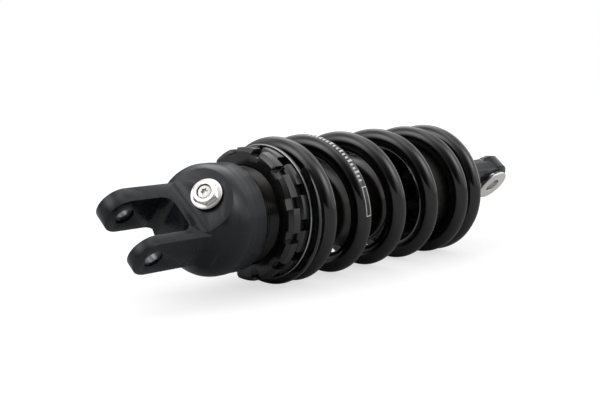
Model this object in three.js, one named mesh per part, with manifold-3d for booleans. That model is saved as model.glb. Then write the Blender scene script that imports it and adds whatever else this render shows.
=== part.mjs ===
// Rear shock absorber with a coil spring, a threaded preload collar and a gas-charged damper.
//
// Frame: millimetres. The origin is on the clevis bolt axis, where it crosses the damper axis.
// +X runs along the damper axis from the clevis to the lower eye. +Z is up: the shock lies on its
// spring, rolled so that both bolt axes stand BOLT_ROLL degrees above the horizontal.
import * as THREE from 'three';
import { mergeVertices } from 'three/addons/utils/BufferGeometryUtils.js';
import Module from 'manifold-3d';

const wasm = await Module();
wasm.setup();

// ---------------------------------------------------------------- driving dimensions
const BOLT_ROLL = THREE.MathUtils.degToRad(40);
const GAP = 0.3; // between touching pieces
const EYE_TO_EYE = 310.5;
const STROKE = 50;
const BOLT_BORE_R = 5.2;

// clevis and cylinder head
const EAR_R = 11.3; // half height and end radius of the ears
const SLOT_NEAR = -13.4; // the slot's two faces, along the bolt axis
const SLOT_FAR = 10.1;
const EAR_NEAR = -19.3; // the ears' outer faces
const EAR_FAR = 19.0;
const SLOT_FLOOR_X = 23.5;
const SLOT_FILLET = 6;
const HEAD_R = 30.3;
const HEAD_END_R = 29.7;
const HEAD_SHOULDER_X = 48;
const HEAD_WAIST_X = 52;
const HEAD_END_X = 63.9;
const HEAD_CONE = THREE.MathUtils.degToRad(41);
const HEAD_SHOULDER_FILLET = 20;
const HEAD_EDGE = 0.5;
const HEAD_CONE_START_X = 16;
const EAR_ROOT_X = 36; // inside the head, where the ears' block ends
const FLAT_END_X = 27; // where the ears' outer flats run out into the head
const FLAT_RUNOUT_R = 10;
const FLAT_RUNOUT_SWEEP = THREE.MathUtils.degToRad(65);
const OUTSIDE = 60; // further from the damper axis than any piece reaches
const GAS_SPACE_X = 46;
const TUBE_SEAT_X = 52.2;

// gas valve, on a facet that leans back from the ears
const VALVE_LEAN = THREE.MathUtils.degToRad(40);
const VALVE_X = 35.1; // centre of the valve flange's outer face
const VALVE_Z = 21.85;
const VALVE_FLANGE_R = 8.5;
const VALVE_FLANGE_T = 1.2;
const VALVE_HEX_R = 7.0;
const VALVE_HEX_H = 3.4;
const VALVE_SEAL_T = 0.6;
const VALVE_STEM_R = 4.6;
const VALVE_STEM_L = 9; // below the facet
const VALVE_RECESS_R = 4.1;
const VALVE_RECESS_FLOOR = 0.4;
const VALVE_CORE_R = 2.1;
const VALVE_SCREW_R = 3.7;
const VALVE_SCREW_TOP = 2.7;
const VALVE_SCREW_CHAMFER = 0.7;
const VALVE_SCREW_SHANK_R = 1.8;
const VALVE_SCREW_SHANK_L = 8;
const VALVE_SOCKET_R = 1.45;
const VALVE_SOCKET_LOBE = 0.3;
const VALVE_SOCKET_FLOOR = 1.4;
const FACET_DROP = VALVE_FLANGE_T + VALVE_SEAL_T + 2 * GAP; // facet below the flange's outer face
const FACET_FILLET = 5;

// cylinder tube
const TUBE_R = 27.07;
const BORE_R = 23;
const TUBE_START_X = TUBE_SEAT_X + GAP;
const TUBE_END_X = 176;
const CIRCLIP_GROOVE = [TUBE_END_X - 2.6, TUBE_END_X - 0.6];
const CIRCLIP_GROOVE_DEPTH = 1.4;
const CIRCLIP_X = [CIRCLIP_GROOVE[0] + 0.2, CIRCLIP_GROOVE[1] - 0.2];
const CIRCLIP_R = [20.4, 24.2];
const CIRCLIP_GAP_W = 9;
const CIRCLIP_GAP_AT = 0.6; // radians from +Z, as for every ring's gap

// seal head and free piston, inside the tube
const SEAL_HEAD_X = [156, TUBE_END_X - 2.7];
const SEAL_HEAD_R = BORE_R - 0.2;
const SEAL_POCKET_R = 12.4;
const BUSHING_POCKET_R = 10;
const O_RING_WIRE_R = 1.05;
const O_RING_DEPTH = 2.3; // of the grooves
const O_RING_GROOVE_W = 3;
const O_RING_FIT = 0.2; // clear of the bore
const SEAL_HEAD_GROOVE_X = SEAL_HEAD_X[0] + 6;
const RUNNING_GAP = 0.15; // between the shaft and what it slides in
const BUSHING_X = [156.3, 161.7];
const SHAFT_SEAL_X = [166.3, 169.4];
const SHAFT_WIPER_X = [169.7, 173.0];
const FREE_PISTON_X = [64, 76];
const FREE_PISTON_R = 22.7;
const FREE_PISTON_BORE_R = 17;
const FREE_PISTON_CROWN_T = 4;
const FREE_PISTON_GROOVE_X = 68;

// collars
const COLLAR_R = 37.1;
const COLLAR_BORE_R = TUBE_R + GAP;
const COLLAR_NOTCHES = 12;
const COLLAR_NOTCH_W = 6.1;
const COLLAR_NOTCH_R = 33.6;
const LOCK_RING_X = [74.4, 81.5];
const PRELOAD_RING_X = [81.8, 88.0];
const LOCK_RING_PHASE = THREE.MathUtils.degToRad(15);
const PRELOAD_RING_PHASE = THREE.MathUtils.degToRad(4.5);
const PERCH_X = [88.3, 90.3];
const PERCH_R = 38;
const PERCH_GUIDE_L = 7;
const COLLAR_CHAMFER = 1.8;
const EDGE = 0.4; // broken edges

// spring
const WIRE_R = 5.95;
const COIL_R = 35.65; // to the middle of the wire
const SPRING_X = [90.6, 243.8]; // the two ground ends
const SPRING_TIP_SINK = 1.2; // how far the wire's middle lies outside the ground end at its tip
const CLOSED_PITCH = 12.0;
const SPRING_TURNS = 6.47;
const CLOSED_TURNS = 1.0;
const PITCH_BLEND_TURNS = 0.5;
const SPRING_TIP_PHASE = THREE.MathUtils.degToRad(138);
const SPRING_GUIDE_R = 29.2; // what holds the spring's bore

// shaft and lower end
const SHAFT_R = 8;
const ROD_BORE_R = 2.1;
const STUD_R = 5;
const STUD_BORE_R = STUD_R + GAP;
const STUD_START_X = 127;
const SHAFT_SHOULDER_X = 151.2;
const PISTON_X = [136.7, 148.7];
const PISTON_R = 22.6;
const PISTON_BAND_X = [140, 145.5];
const PISTON_BAND_R = 21;
const PISTON_BAND_FIT = 0.2; // clear of its groove and proud of the piston
const PISTON_BAND_GAP_W = 1.5;
const PISTON_BAND_GAP_AT = 2;
const PISTON_PORTS = 6;
const PISTON_PORT_R = 2.2;
const PISTON_PORT_CIRCLE_R = 12.5;
const PISTON_NUT_X = [128.3, 134.2];
const PISTON_NUT_R = 9.6;
const TOP_OUT_X = [151.5, 155.7];
const TOP_OUT_R = 14;
const SHIM_T = 0.4;
const COMPRESSION_SHIM_R = [18, 15, 12];
const REBOUND_SHIM_R = [17, 14, 11];
const SHAFT_END_X = 262;
const SEAT_X = SPRING_X[1] + GAP;
const SEAT_FLANGE_T = 5;
const SEAT_FLANGE_R = 35;
const SEAT_PILOT_L = 6; // of the rim that the guide sleeve sits on
const SEAT_PILOT_BORE_R = 24;
const SLEEVE_X = [205, SEAT_X - GAP]; // the guide sleeve, inside the spring
const SLEEVE_BORE_R = TUBE_R + 0.5;
const SEAT_HUB_R = 14;
const SEAT_HUB_END_X = 252;
const SEAT_CLIP_GAP_W = 12;
const SEAT_CLIP_GAP_AT = 1;
const BUMP_STOP_X = [TUBE_END_X + STROKE + GAP, SEAT_X - GAP];
const BUMP_STOP_LOBES_R = [15, 16.5, 14.8, 17.5, 18.5]; // nose, lobe, waist, lobe, foot
const NEEDLE_R = 1.5;
const NEEDLE_X = [130, 136]; // the needle's point and the end of its taper

// lower eye
const EYE_OFFSET = 2.2; // of the eye's middle from the damper axis, along the bolt axis
const EYE_R = 15.4;
const EYE_HALF_W = 6.6;
const EYE_CHAMFER = 1.6;
const NECK_R = 14.5;
const NECK_HALF_T = 6.4; // half the width of the neck's flat part, along the bolt axis
const NECK_ROUND_END_X = 262;
const NECK_TAPER_L = 4; // from the round neck to the flat one
const NECK_START_X = 256;
const KNOB_X = [268.4, 274.6];
const KNOB_R = 9.6;
const KNOB_POST = 10.2; // the window's posts stand further than this from the damper axis
const KNOB_GRIPS = 12;
const KNOB_GROOVE_R = 0.7;
const RACE_R = 11.6;
const RACE_HALF_W = 4.6;
const CLIP_T = 0.8;
const CLIP_GAP = 0.2; // between the race and its clips
const CLIP_GROOVE_R = 12.8;
const CLIP_LIP = 1.5; // that laps over the race
const CLIP_OPENING_W = 4;
const BALL_R = 9.0;
const BALL_HALF_W = 6.0;
const BALL_BORE_R = 6.6;
const SPACER_END = 9.6; // from the eye's middle to a spacer's outer face
const SPACER_FLANGE_T = 1.5;
const SPACER_FLANGE_R = 12.2;
const SPACER_SHOULDER_R = 8.0;
const SPACER_STUB_R = 6.3;

// ---------------------------------------------------------------- materials
const FINISH = {
  anodised: { color: 0x1b1c1f, roughness: 0.42, metalness: 0.85 },
  collar: { color: 0x141416, roughness: 0.36, metalness: 0.8 },
  paint: { color: 0x0b0c0e, roughness: 0.16, metalness: 0.0 },
  zinc: { color: 0xd9d8d2, roughness: 0.3, metalness: 1.0 },
  steel: { color: 0x8f9194, roughness: 0.35, metalness: 1.0 },
  chrome: { color: 0xcfd2d6, roughness: 0.08, metalness: 1.0 },
  rubber: { color: 0x101010, roughness: 0.85, metalness: 0.0 },
  bumper: { color: 0x171514, roughness: 0.75, metalness: 0.0 },
  plastic: { color: 0x12110f, roughness: 0.55, metalness: 0.0 },
  bronze: { color: 0x6b5a3c, roughness: 0.6, metalness: 0.4 },
};

// ---------------------------------------------------------------- solids

// Signed volume of an indexed mesh, to tell whether its faces point out.
function signedVolume(position, index) {
  let sum = 0;
  const a = new THREE.Vector3();
  const b = new THREE.Vector3();
  const c = new THREE.Vector3();
  for (let i = 0; i < index.length; i += 3) {
    a.fromArray(position, 3 * index[i]);
    b.fromArray(position, 3 * index[i + 1]);
    c.fromArray(position, 3 * index[i + 2]);
    sum += a.dot(b.cross(c));
  }
  return sum / 6;
}

// A three.js geometry as a closed solid, with its vertices merged and its faces turned outwards.
function solid(geometry) {
  const bare = geometry.clone();
  bare.deleteAttribute('normal');
  bare.deleteAttribute('uv');
  const merged = mergeVertices(bare, 1e-4);
  const position = merged.getAttribute('position').array;
  const source = merged.getIndex().array;
  const index = [];
  for (let i = 0; i < source.length; i += 3) {
    const [a, b, c] = [source[i], source[i + 1], source[i + 2]];
    if (a !== b && b !== c && c !== a) index.push(a, b, c);
  }
  if (signedVolume(position, index) < 0) {
    for (let i = 0; i < index.length; i += 3) {
      [index[i], index[i + 1]] = [index[i + 1], index[i]];
    }
  }
  const mesh = new wasm.Mesh({
    numProp: 3,
    vertProperties: Float32Array.from(position),
    triVerts: Uint32Array.from(index),
  });
  return new wasm.Manifold(mesh);
}

function geometryOf(body) {
  const mesh = body.getMesh();
  const geometry = new THREE.BufferGeometry();
  geometry.setAttribute('position', new THREE.BufferAttribute(mesh.vertProperties, 3));
  geometry.setIndex(new THREE.BufferAttribute(mesh.triVerts, 1));
  geometry.computeVertexNormals();
  return geometry;
}

// A solid of revolution about the damper axis. The profile is a list of [x, radius].
function turned(profile, segments = 20) {
  const points = profile.map(([x, r]) => new THREE.Vector2(r, x));
  return solid(new THREE.LatheGeometry(points, segments).rotateZ(-Math.PI / 2));
}

// A ring of rectangular section about the damper axis.
function ring(x0, x1, inner, outer, segments = 20) {
  return turned([[x0, inner], [x0, outer], [x1, outer], [x1, inner], [x0, inner]], segments);
}

// A ring of round section that seals against the cylinder's bore.
function oRing(groove) {
  const sides = 5;
  const x = groove + O_RING_GROOVE_W / 2;
  const profile = arc(x, BORE_R - O_RING_FIT - O_RING_WIRE_R, O_RING_WIRE_R, 0, 2 * Math.PI, sides);
  profile[sides] = profile[0];
  return turned(profile, 24);
}

function rod(x0, x1, r, segments = 20) {
  return turned([[x0, 0], [x0, r], [x1, r], [x1, 0]], segments);
}

function box(x0, x1, y0, y1, z0, z1) {
  const geometry = new THREE.BoxGeometry(x1 - x0, y1 - y0, z1 - z0);
  return solid(geometry.translate((x0 + x1) / 2, (y0 + y1) / 2, (z0 + z1) / 2));
}

// A solid under a transform made of three.js calls on the geometry.
function moved(body, change) {
  return solid(change(geometryOf(body)));
}

// Turns a solid made about the damper axis so that its axis is the bolt axis (+Y before the roll).
function aboutBolt(body, x = 0) {
  return moved(body, (g) => g.rotateZ(Math.PI / 2).translate(x, 0, 0));
}

// Extrudes an outline drawn in the X-Z plane along the bolt axis, from y0 to y1.
function plateAlongBolt(shape, y0, y1) {
  const options = { depth: y1 - y0, bevelEnabled: false };
  return solid(new THREE.ExtrudeGeometry(shape, options).rotateX(Math.PI / 2).translate(0, y1, 0));
}

// Extrudes an outline drawn in the X-Y plane upwards, from z0 to z1.
function plateUp(shape, z0, z1) {
  const options = { depth: z1 - z0, bevelEnabled: false };
  return solid(new THREE.ExtrudeGeometry(shape, options).translate(0, 0, z0));
}

function shapeOf(points) {
  return new THREE.Shape(points.map(([x, y]) => new THREE.Vector2(x, y)));
}

// Points of an arc, ends included.
function arc(cx, cy, r, from, to, steps = 8) {
  const points = [];
  for (let i = 0; i <= steps; i += 1) {
    const angle = from + ((to - from) * i) / steps;
    points.push([cx + r * Math.cos(angle), cy + r * Math.sin(angle)]);
  }
  return points;
}

// ---------------------------------------------------------------- clevis and cylinder head

// The head's outline over its cone, its rounded shoulder and its slightly tapered barrel.
function headProfile() {
  const reach = HEAD_SHOULDER_FILLET * Math.tan(HEAD_CONE / 2);
  const cornerX = HEAD_SHOULDER_X - reach;
  const coneR = HEAD_R - (cornerX - HEAD_CONE_START_X) * Math.tan(HEAD_CONE);
  const shoulder = arc(
    HEAD_SHOULDER_X,
    HEAD_R - HEAD_SHOULDER_FILLET,
    HEAD_SHOULDER_FILLET,
    Math.PI / 2 + HEAD_CONE,
    Math.PI / 2,
    5,
  );
  return [
    [HEAD_CONE_START_X, 0],
    [HEAD_CONE_START_X, coneR],
    ...shoulder,
    [HEAD_WAIST_X, HEAD_R],
    [HEAD_END_X - HEAD_EDGE, HEAD_END_R],
    [HEAD_END_X, HEAD_END_R - HEAD_EDGE],
    [HEAD_END_X, COLLAR_BORE_R],
    [TUBE_SEAT_X, COLLAR_BORE_R],
    [TUBE_SEAT_X, BORE_R],
    [GAS_SPACE_X, BORE_R],
    [GAS_SPACE_X, 0],
  ];
}

// Height of the valve facet above the damper axis at a given x.
function facetZ(x) {
  const offset = VALVE_Z * Math.sin(VALVE_LEAN) - VALVE_X * Math.cos(VALVE_LEAN) - FACET_DROP;
  return (offset + x * Math.cos(VALVE_LEAN)) / Math.sin(VALVE_LEAN);
}

// What is milled off above the ears and along the valve facet, with a fillet where they meet.
function facetCut() {
  const slope = Math.PI / 2 - VALVE_LEAN;
  const cornerX = HEAD_CONE_START_X + (EAR_R - facetZ(HEAD_CONE_START_X)) * Math.tan(VALVE_LEAN);
  const start = cornerX - FACET_FILLET * Math.tan(slope / 2);
  const fillet = arc(start, EAR_R + FACET_FILLET, FACET_FILLET, -Math.PI / 2, slope - Math.PI / 2, 6);
  const top = facetZ(HEAD_END_X);
  const outline = [[-OUTSIDE, EAR_R], ...fillet, [HEAD_END_X, top], [-OUTSIDE, top]];
  return plateAlongBolt(shapeOf(outline), -OUTSIDE, OUTSIDE);
}

// What is milled off outside one ear, whose outer face lies at face along the bolt axis.
function flatCut(face) {
  const side = Math.sign(face);
  const centre = face + side * FLAT_RUNOUT_R;
  const from = (-side * Math.PI) / 2;
  const runout = arc(FLAT_END_X, centre, FLAT_RUNOUT_R, from, from + side * FLAT_RUNOUT_SWEEP, 6);
  const [endX] = runout[runout.length - 1];
  const outline = [[-OUTSIDE, face], ...runout, [endX, side * OUTSIDE], [-OUTSIDE, side * OUTSIDE]];
  return plateUp(shapeOf(outline), -OUTSIDE, OUTSIDE);
}

function slotCut() {
  const cx = SLOT_FLOOR_X - SLOT_FILLET;
  const outline = [
    [-OUTSIDE, SLOT_NEAR],
    ...arc(cx, SLOT_NEAR + SLOT_FILLET, SLOT_FILLET, -Math.PI / 2, 0, 6),
    ...arc(cx, SLOT_FAR - SLOT_FILLET, SLOT_FILLET, 0, Math.PI / 2, 6),
    [-OUTSIDE, SLOT_FAR],
  ];
  return plateUp(shapeOf(outline), -OUTSIDE, OUTSIDE);
}

// Turns a solid made along +X so that it lies along the valve's axis, with x = 0 at the flange's
// outer face and +X pointing out of the head.
function onValveAxis(body) {
  const turn = Math.PI + VALVE_LEAN;
  return moved(body, (g) => g.rotateY(turn).translate(VALVE_X, 0, VALVE_Z));
}

function headClevis() {
  const ears = shapeOf([
    [EAR_ROOT_X, EAR_R],
    ...arc(0, 0, EAR_R, Math.PI / 2, (3 * Math.PI) / 2, 16),
    [EAR_ROOT_X, -EAR_R],
  ]);
  const bolt = aboutBolt(rod(-OUTSIDE, OUTSIDE, BOLT_BORE_R, 32));
  const valveBore = onValveAxis(rod(-VALVE_X, VALVE_X, VALVE_STEM_R + GAP, 24));
  return turned(headProfile(), 40)
    .add(plateAlongBolt(ears, EAR_NEAR, EAR_FAR))
    .subtract(facetCut())
    .subtract(flatCut(EAR_NEAR))
    .subtract(flatCut(EAR_FAR))
    .subtract(slotCut())
    .subtract(bolt)
    .subtract(valveBore);
}

// ---------------------------------------------------------------- gas valve

// A flat-ended prism about the damper axis, with an outline drawn across it.
function prism(outline, x0, x1) {
  return moved(plateUp(shapeOf(outline), x0, x1), (g) => g.rotateY(Math.PI / 2));
}

// Points round a circle, with a corner on the bolt axis' side. radiusAt gives the radius at an angle.
function around(count, radiusAt) {
  return Array.from({ length: count }, (_, i) => {
    const angle = (2 * Math.PI * i) / count;
    return [radiusAt(angle) * Math.cos(angle), radiusAt(angle) * Math.sin(angle)];
  });
}

function gasValveBody() {
  const stemEnd = -(FACET_DROP + VALVE_STEM_L);
  const body = rod(-VALVE_FLANGE_T, 0, VALVE_FLANGE_R, 32)
    .add(prism(around(6, () => VALVE_HEX_R), -VALVE_FLANGE_T / 2, VALVE_HEX_H))
    .add(rod(stemEnd, 0, VALVE_STEM_R, 24))
    .subtract(rod(VALVE_RECESS_FLOOR, VALVE_HEX_H + 1, VALVE_RECESS_R, 32))
    .subtract(rod(stemEnd - 1, 2 * VALVE_RECESS_FLOOR, VALVE_CORE_R, 16));
  return onValveAxis(body);
}

function gasValveScrew() {
  const underside = VALVE_RECESS_FLOOR + GAP;
  const socket = around(24, (angle) => VALVE_SOCKET_R + VALVE_SOCKET_LOBE * Math.cos(6 * angle));
  const screw = turned([
    [-VALVE_SCREW_SHANK_L, 0],
    [-VALVE_SCREW_SHANK_L, VALVE_SCREW_SHANK_R],
    [underside, VALVE_SCREW_SHANK_R],
    [underside, VALVE_SCREW_R],
    [VALVE_SCREW_TOP - VALVE_SCREW_CHAMFER, VALVE_SCREW_R],
    [VALVE_SCREW_TOP, VALVE_SCREW_R - VALVE_SCREW_CHAMFER],
    [VALVE_SCREW_TOP, 0],
  ], 24);
  return onValveAxis(screw.subtract(prism(socket, VALVE_SOCKET_FLOOR, VALVE_SCREW_TOP + 1)));
}

function gasValveSeal() {
  const x0 = -(VALVE_FLANGE_T + GAP + VALVE_SEAL_T);
  return onValveAxis(ring(x0, x0 + VALVE_SEAL_T, VALVE_STEM_R + GAP, VALVE_FLANGE_R - GAP));
}

// ---------------------------------------------------------------- cylinder

function cylinderTube() {
  return turned([
    [TUBE_START_X, BORE_R],
    [TUBE_START_X, TUBE_R],
    [TUBE_END_X - 1, TUBE_R],
    [TUBE_END_X, TUBE_R - 1],
    [TUBE_END_X, BORE_R],
    [CIRCLIP_GROOVE[1], BORE_R],
    [CIRCLIP_GROOVE[1], BORE_R + CIRCLIP_GROOVE_DEPTH],
    [CIRCLIP_GROOVE[0], BORE_R + CIRCLIP_GROOVE_DEPTH],
    [CIRCLIP_GROOVE[0], BORE_R],
    [TUBE_START_X, BORE_R],
  ], 40);
}

function sealHead() {
  const [x0, x1] = SEAL_HEAD_X;
  const groove = SEAL_HEAD_GROOVE_X;
  return turned([
    [x0, BUSHING_POCKET_R],
    [x0, SEAL_HEAD_R],
    [groove, SEAL_HEAD_R],
    [groove, SEAL_HEAD_R - O_RING_DEPTH],
    [groove + O_RING_GROOVE_W, SEAL_HEAD_R - O_RING_DEPTH],
    [groove + O_RING_GROOVE_W, SEAL_HEAD_R],
    [x1, SEAL_HEAD_R],
    [x1, SEAL_POCKET_R],
    [groove + 4, SEAL_POCKET_R],
    [groove + 4, SHAFT_R + 0.5],
    [groove, SHAFT_R + 0.5],
    [groove, BUSHING_POCKET_R],
    [x0, BUSHING_POCKET_R],
  ]);
}

// A ring in the seal head that the shaft slides in.
function shaftRing(x0, x1, pocketR) {
  return ring(x0, x1, SHAFT_R + RUNNING_GAP, pocketR - 0.2);
}

// A flat spring ring with a gap, about the damper axis. direction is the gap's angle.
function splitRing(x0, x1, inner, outer, gapWidth, direction, segments = 28) {
  const gap = box(x0 - 1, x1 + 1, 0, 2 * outer, -gapWidth / 2, gapWidth / 2);
  return ring(x0, x1, inner, outer, segments).subtract(moved(gap, (g) => g.rotateX(direction)));
}

// ---------------------------------------------------------------- pistons

function freePiston() {
  const [x0, x1] = FREE_PISTON_X;
  const groove = FREE_PISTON_GROOVE_X;
  return turned([
    [x0, FREE_PISTON_BORE_R],
    [x0, FREE_PISTON_R],
    [groove, FREE_PISTON_R],
    [groove, FREE_PISTON_R - O_RING_DEPTH],
    [groove + O_RING_GROOVE_W, FREE_PISTON_R - O_RING_DEPTH],
    [groove + O_RING_GROOVE_W, FREE_PISTON_R],
    [x1, FREE_PISTON_R],
    [x1, 0],
    [x1 - FREE_PISTON_CROWN_T, 0],
    [x1 - FREE_PISTON_CROWN_T, FREE_PISTON_BORE_R],
    [x0, FREE_PISTON_BORE_R],
  ]);
}

function piston() {
  const [x0, x1] = PISTON_X;
  const [band0, band1] = PISTON_BAND_X;
  let body = turned([
    [x0, STUD_BORE_R],
    [x0, PISTON_R],
    [band0, PISTON_R],
    [band0, PISTON_BAND_R],
    [band1, PISTON_BAND_R],
    [band1, PISTON_R],
    [x1, PISTON_R],
    [x1, STUD_BORE_R],
    [x0, STUD_BORE_R],
  ]);
  const port = moved(rod(x0 - 1, x1 + 1, PISTON_PORT_R, 8), (g) => g.translate(0, PISTON_PORT_CIRCLE_R, 0));
  for (let i = 0; i < PISTON_PORTS; i += 1) {
    const angle = (2 * Math.PI * i) / PISTON_PORTS;
    body = body.subtract(moved(port, (g) => g.rotateX(angle)));
  }
  return body;
}

function pistonBand() {
  const [band0, band1] = PISTON_BAND_X;
  const [inner, outer] = [PISTON_BAND_R + PISTON_BAND_FIT, PISTON_R + PISTON_BAND_FIT];
  return splitRing(band0 + GAP, band1 - GAP, inner, outer, PISTON_BAND_GAP_W, PISTON_BAND_GAP_AT);
}

function pistonNut() {
  const [x0, x1] = PISTON_NUT_X;
  return prism(around(6, () => PISTON_NUT_R), x0, x1).subtract(rod(x0 - 1, x1 + 1, STUD_BORE_R));
}

// One flat disc of the stack on a piston's face: number 0 lies against the piston, and direction
// says on which side of it the stack lies.
function shim(faceX, direction, number, radius) {
  const a = faceX + direction * (GAP + number * (SHIM_T + GAP));
  const b = a + direction * SHIM_T;
  return ring(Math.min(a, b), Math.max(a, b), STUD_BORE_R, radius);
}

// ---------------------------------------------------------------- shaft

function shaft() {
  return turned([
    [STUD_START_X, ROD_BORE_R],
    [STUD_START_X, STUD_R - 0.5],
    [STUD_START_X + 0.5, STUD_R],
    [SHAFT_SHOULDER_X, STUD_R],
    [SHAFT_SHOULDER_X, SHAFT_R],
    [SHAFT_END_X - 1, SHAFT_R],
    [SHAFT_END_X, SHAFT_R - 1],
    [SHAFT_END_X, ROD_BORE_R],
    [STUD_START_X, ROD_BORE_R],
  ], 24);
}

// The split retainer that holds the lower seat against the neck of the eye.
function seatClip() {
  const [x0, x1] = [SEAT_HUB_END_X + GAP, NECK_START_X - GAP];
  return splitRing(x0, x1, SHAFT_R + GAP, SEAT_HUB_R - 0.5, SEAT_CLIP_GAP_W, SEAT_CLIP_GAP_AT);
}

function adjusterRod() {
  const end = KNOB_X[0] - GAP;
  return turned([[NEEDLE_X[0], 0], [NEEDLE_X[1], NEEDLE_R], [end, NEEDLE_R], [end, 0]], 16);
}

function bumpStop() {
  const [x0, x1] = BUMP_STOP_X;
  const middle = (x0 + x1) / 2;
  const [nose, firstLobe, waist, secondLobe, foot] = BUMP_STOP_LOBES_R;
  const bore = SHAFT_R + EDGE;
  return turned([
    [x0, bore],
    [x0, nose - 2],
    [x0 + 1.5, nose],
    [middle - 2, firstLobe],
    [middle, waist],
    [middle + 2, secondLobe],
    [x1, foot],
    [x1, bore],
    [x0, bore],
  ]);
}

// The plastic tube that keeps the spring off the damper.
function guideSleeve() {
  const [x0, x1] = SLEEVE_X;
  return turned([
    [x0, SLEEVE_BORE_R],
    [x0, SPRING_GUIDE_R - EDGE],
    [x0 + EDGE, SPRING_GUIDE_R],
    [x1, SPRING_GUIDE_R],
    [x1, SLEEVE_BORE_R],
    [x0, SLEEVE_BORE_R],
  ], 32);
}

function lowerSeat() {
  const pilotR = SLEEVE_BORE_R - GAP;
  const flangeEnd = SEAT_X + SEAT_FLANGE_T;
  return turned([
    [SEAT_X - SEAT_PILOT_L, SEAT_PILOT_BORE_R],
    [SEAT_X - SEAT_PILOT_L, pilotR - EDGE],
    [SEAT_X - SEAT_PILOT_L + EDGE, pilotR],
    [SEAT_X, pilotR],
    [SEAT_X, SEAT_FLANGE_R],
    [flangeEnd - 1, SEAT_FLANGE_R],
    [flangeEnd, SEAT_FLANGE_R - 1],
    [flangeEnd, SEAT_HUB_R + 2],
    [SEAT_HUB_END_X, SEAT_HUB_R],
    [SEAT_HUB_END_X, SHAFT_R + GAP],
    [SEAT_X, SHAFT_R + GAP],
    [SEAT_X, SEAT_PILOT_BORE_R],
    [SEAT_X - SEAT_PILOT_L, SEAT_PILOT_BORE_R],
  ], 32);
}

// ---------------------------------------------------------------- collars and perch

function castellatedRing([x0, x1], phase) {
  let body = turned([
    [x0, COLLAR_BORE_R],
    [x0, COLLAR_R - COLLAR_CHAMFER],
    [x0 + COLLAR_CHAMFER, COLLAR_R],
    [x1 - EDGE, COLLAR_R],
    [x1, COLLAR_R - EDGE],
    [x1, COLLAR_BORE_R],
    [x0, COLLAR_BORE_R],
  ], 48);
  const half = COLLAR_NOTCH_W / 2;
  const notch = box(x0 - 1, x1 + 1, COLLAR_NOTCH_R, OUTSIDE, -half, half);
  for (let i = 0; i < COLLAR_NOTCHES; i += 1) {
    const angle = phase + (2 * Math.PI * i) / COLLAR_NOTCHES;
    body = body.subtract(moved(notch, (g) => g.rotateX(angle)));
  }
  return body;
}

function springPerch() {
  const [x0, x1] = PERCH_X;
  const guideEnd = x1 + PERCH_GUIDE_L;
  return turned([
    [x0, COLLAR_BORE_R],
    [x0, PERCH_R - EDGE],
    [x0 + EDGE, PERCH_R],
    [x1 - EDGE, PERCH_R],
    [x1, PERCH_R - EDGE],
    [x1, SPRING_GUIDE_R],
    [guideEnd - 1, SPRING_GUIDE_R],
    [guideEnd, SPRING_GUIDE_R - 1],
    [guideEnd, COLLAR_BORE_R],
    [x0, COLLAR_BORE_R],
  ], 32);
}

// ---------------------------------------------------------------- spring

// How open the coils are at a number of turns from the tip: 0 where they are closed, 1 where they are open.
function openShare(turns) {
  const edge = Math.min(turns, SPRING_TURNS - turns);
  return THREE.MathUtils.smoothstep(edge, CLOSED_TURNS, CLOSED_TURNS + PITCH_BLEND_TURNS);
}

class SpringHelix extends THREE.Curve {
  constructor() {
    super();
    this.samples = 600;
    const step = SPRING_TURNS / this.samples;
    this.shares = [0];
    for (let i = 0; i < this.samples; i += 1) {
      this.shares.push(this.shares[i] + step * openShare((i + 0.5) * step));
    }
    this.start = SPRING_X[0] - SPRING_TIP_SINK;
    const length = SPRING_X[1] + SPRING_TIP_SINK - this.start;
    this.openPitch = (length - CLOSED_PITCH * SPRING_TURNS) / this.shares[this.samples];
  }

  getPoint(t, target = new THREE.Vector3()) {
    const turns = t * SPRING_TURNS;
    const at = t * this.samples;
    const low = Math.min(Math.floor(at), this.samples - 1);
    const share = THREE.MathUtils.lerp(this.shares[low], this.shares[low + 1], at - low);
    const x = this.start + CLOSED_PITCH * turns + this.openPitch * share;
    const angle = SPRING_TIP_PHASE + 2 * Math.PI * turns;
    return target.set(x, COIL_R * Math.cos(angle), COIL_R * Math.sin(angle));
  }
}

function coilSpring() {
  const wire = new THREE.Shape();
  wire.absarc(0, 0, WIRE_R, 0, 2 * Math.PI);
  const options = {
    extrudePath: new SpringHelix(),
    steps: Math.round(SPRING_TURNS * 18),
    curveSegments: 5,
    bevelEnabled: false,
  };
  const coil = solid(new THREE.ExtrudeGeometry(wire, options));
  return coil.intersect(box(SPRING_X[0], SPRING_X[1], -OUTSIDE, OUTSIDE, -OUTSIDE, OUTSIDE));
}

// ---------------------------------------------------------------- lower eye and its bearing

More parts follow.
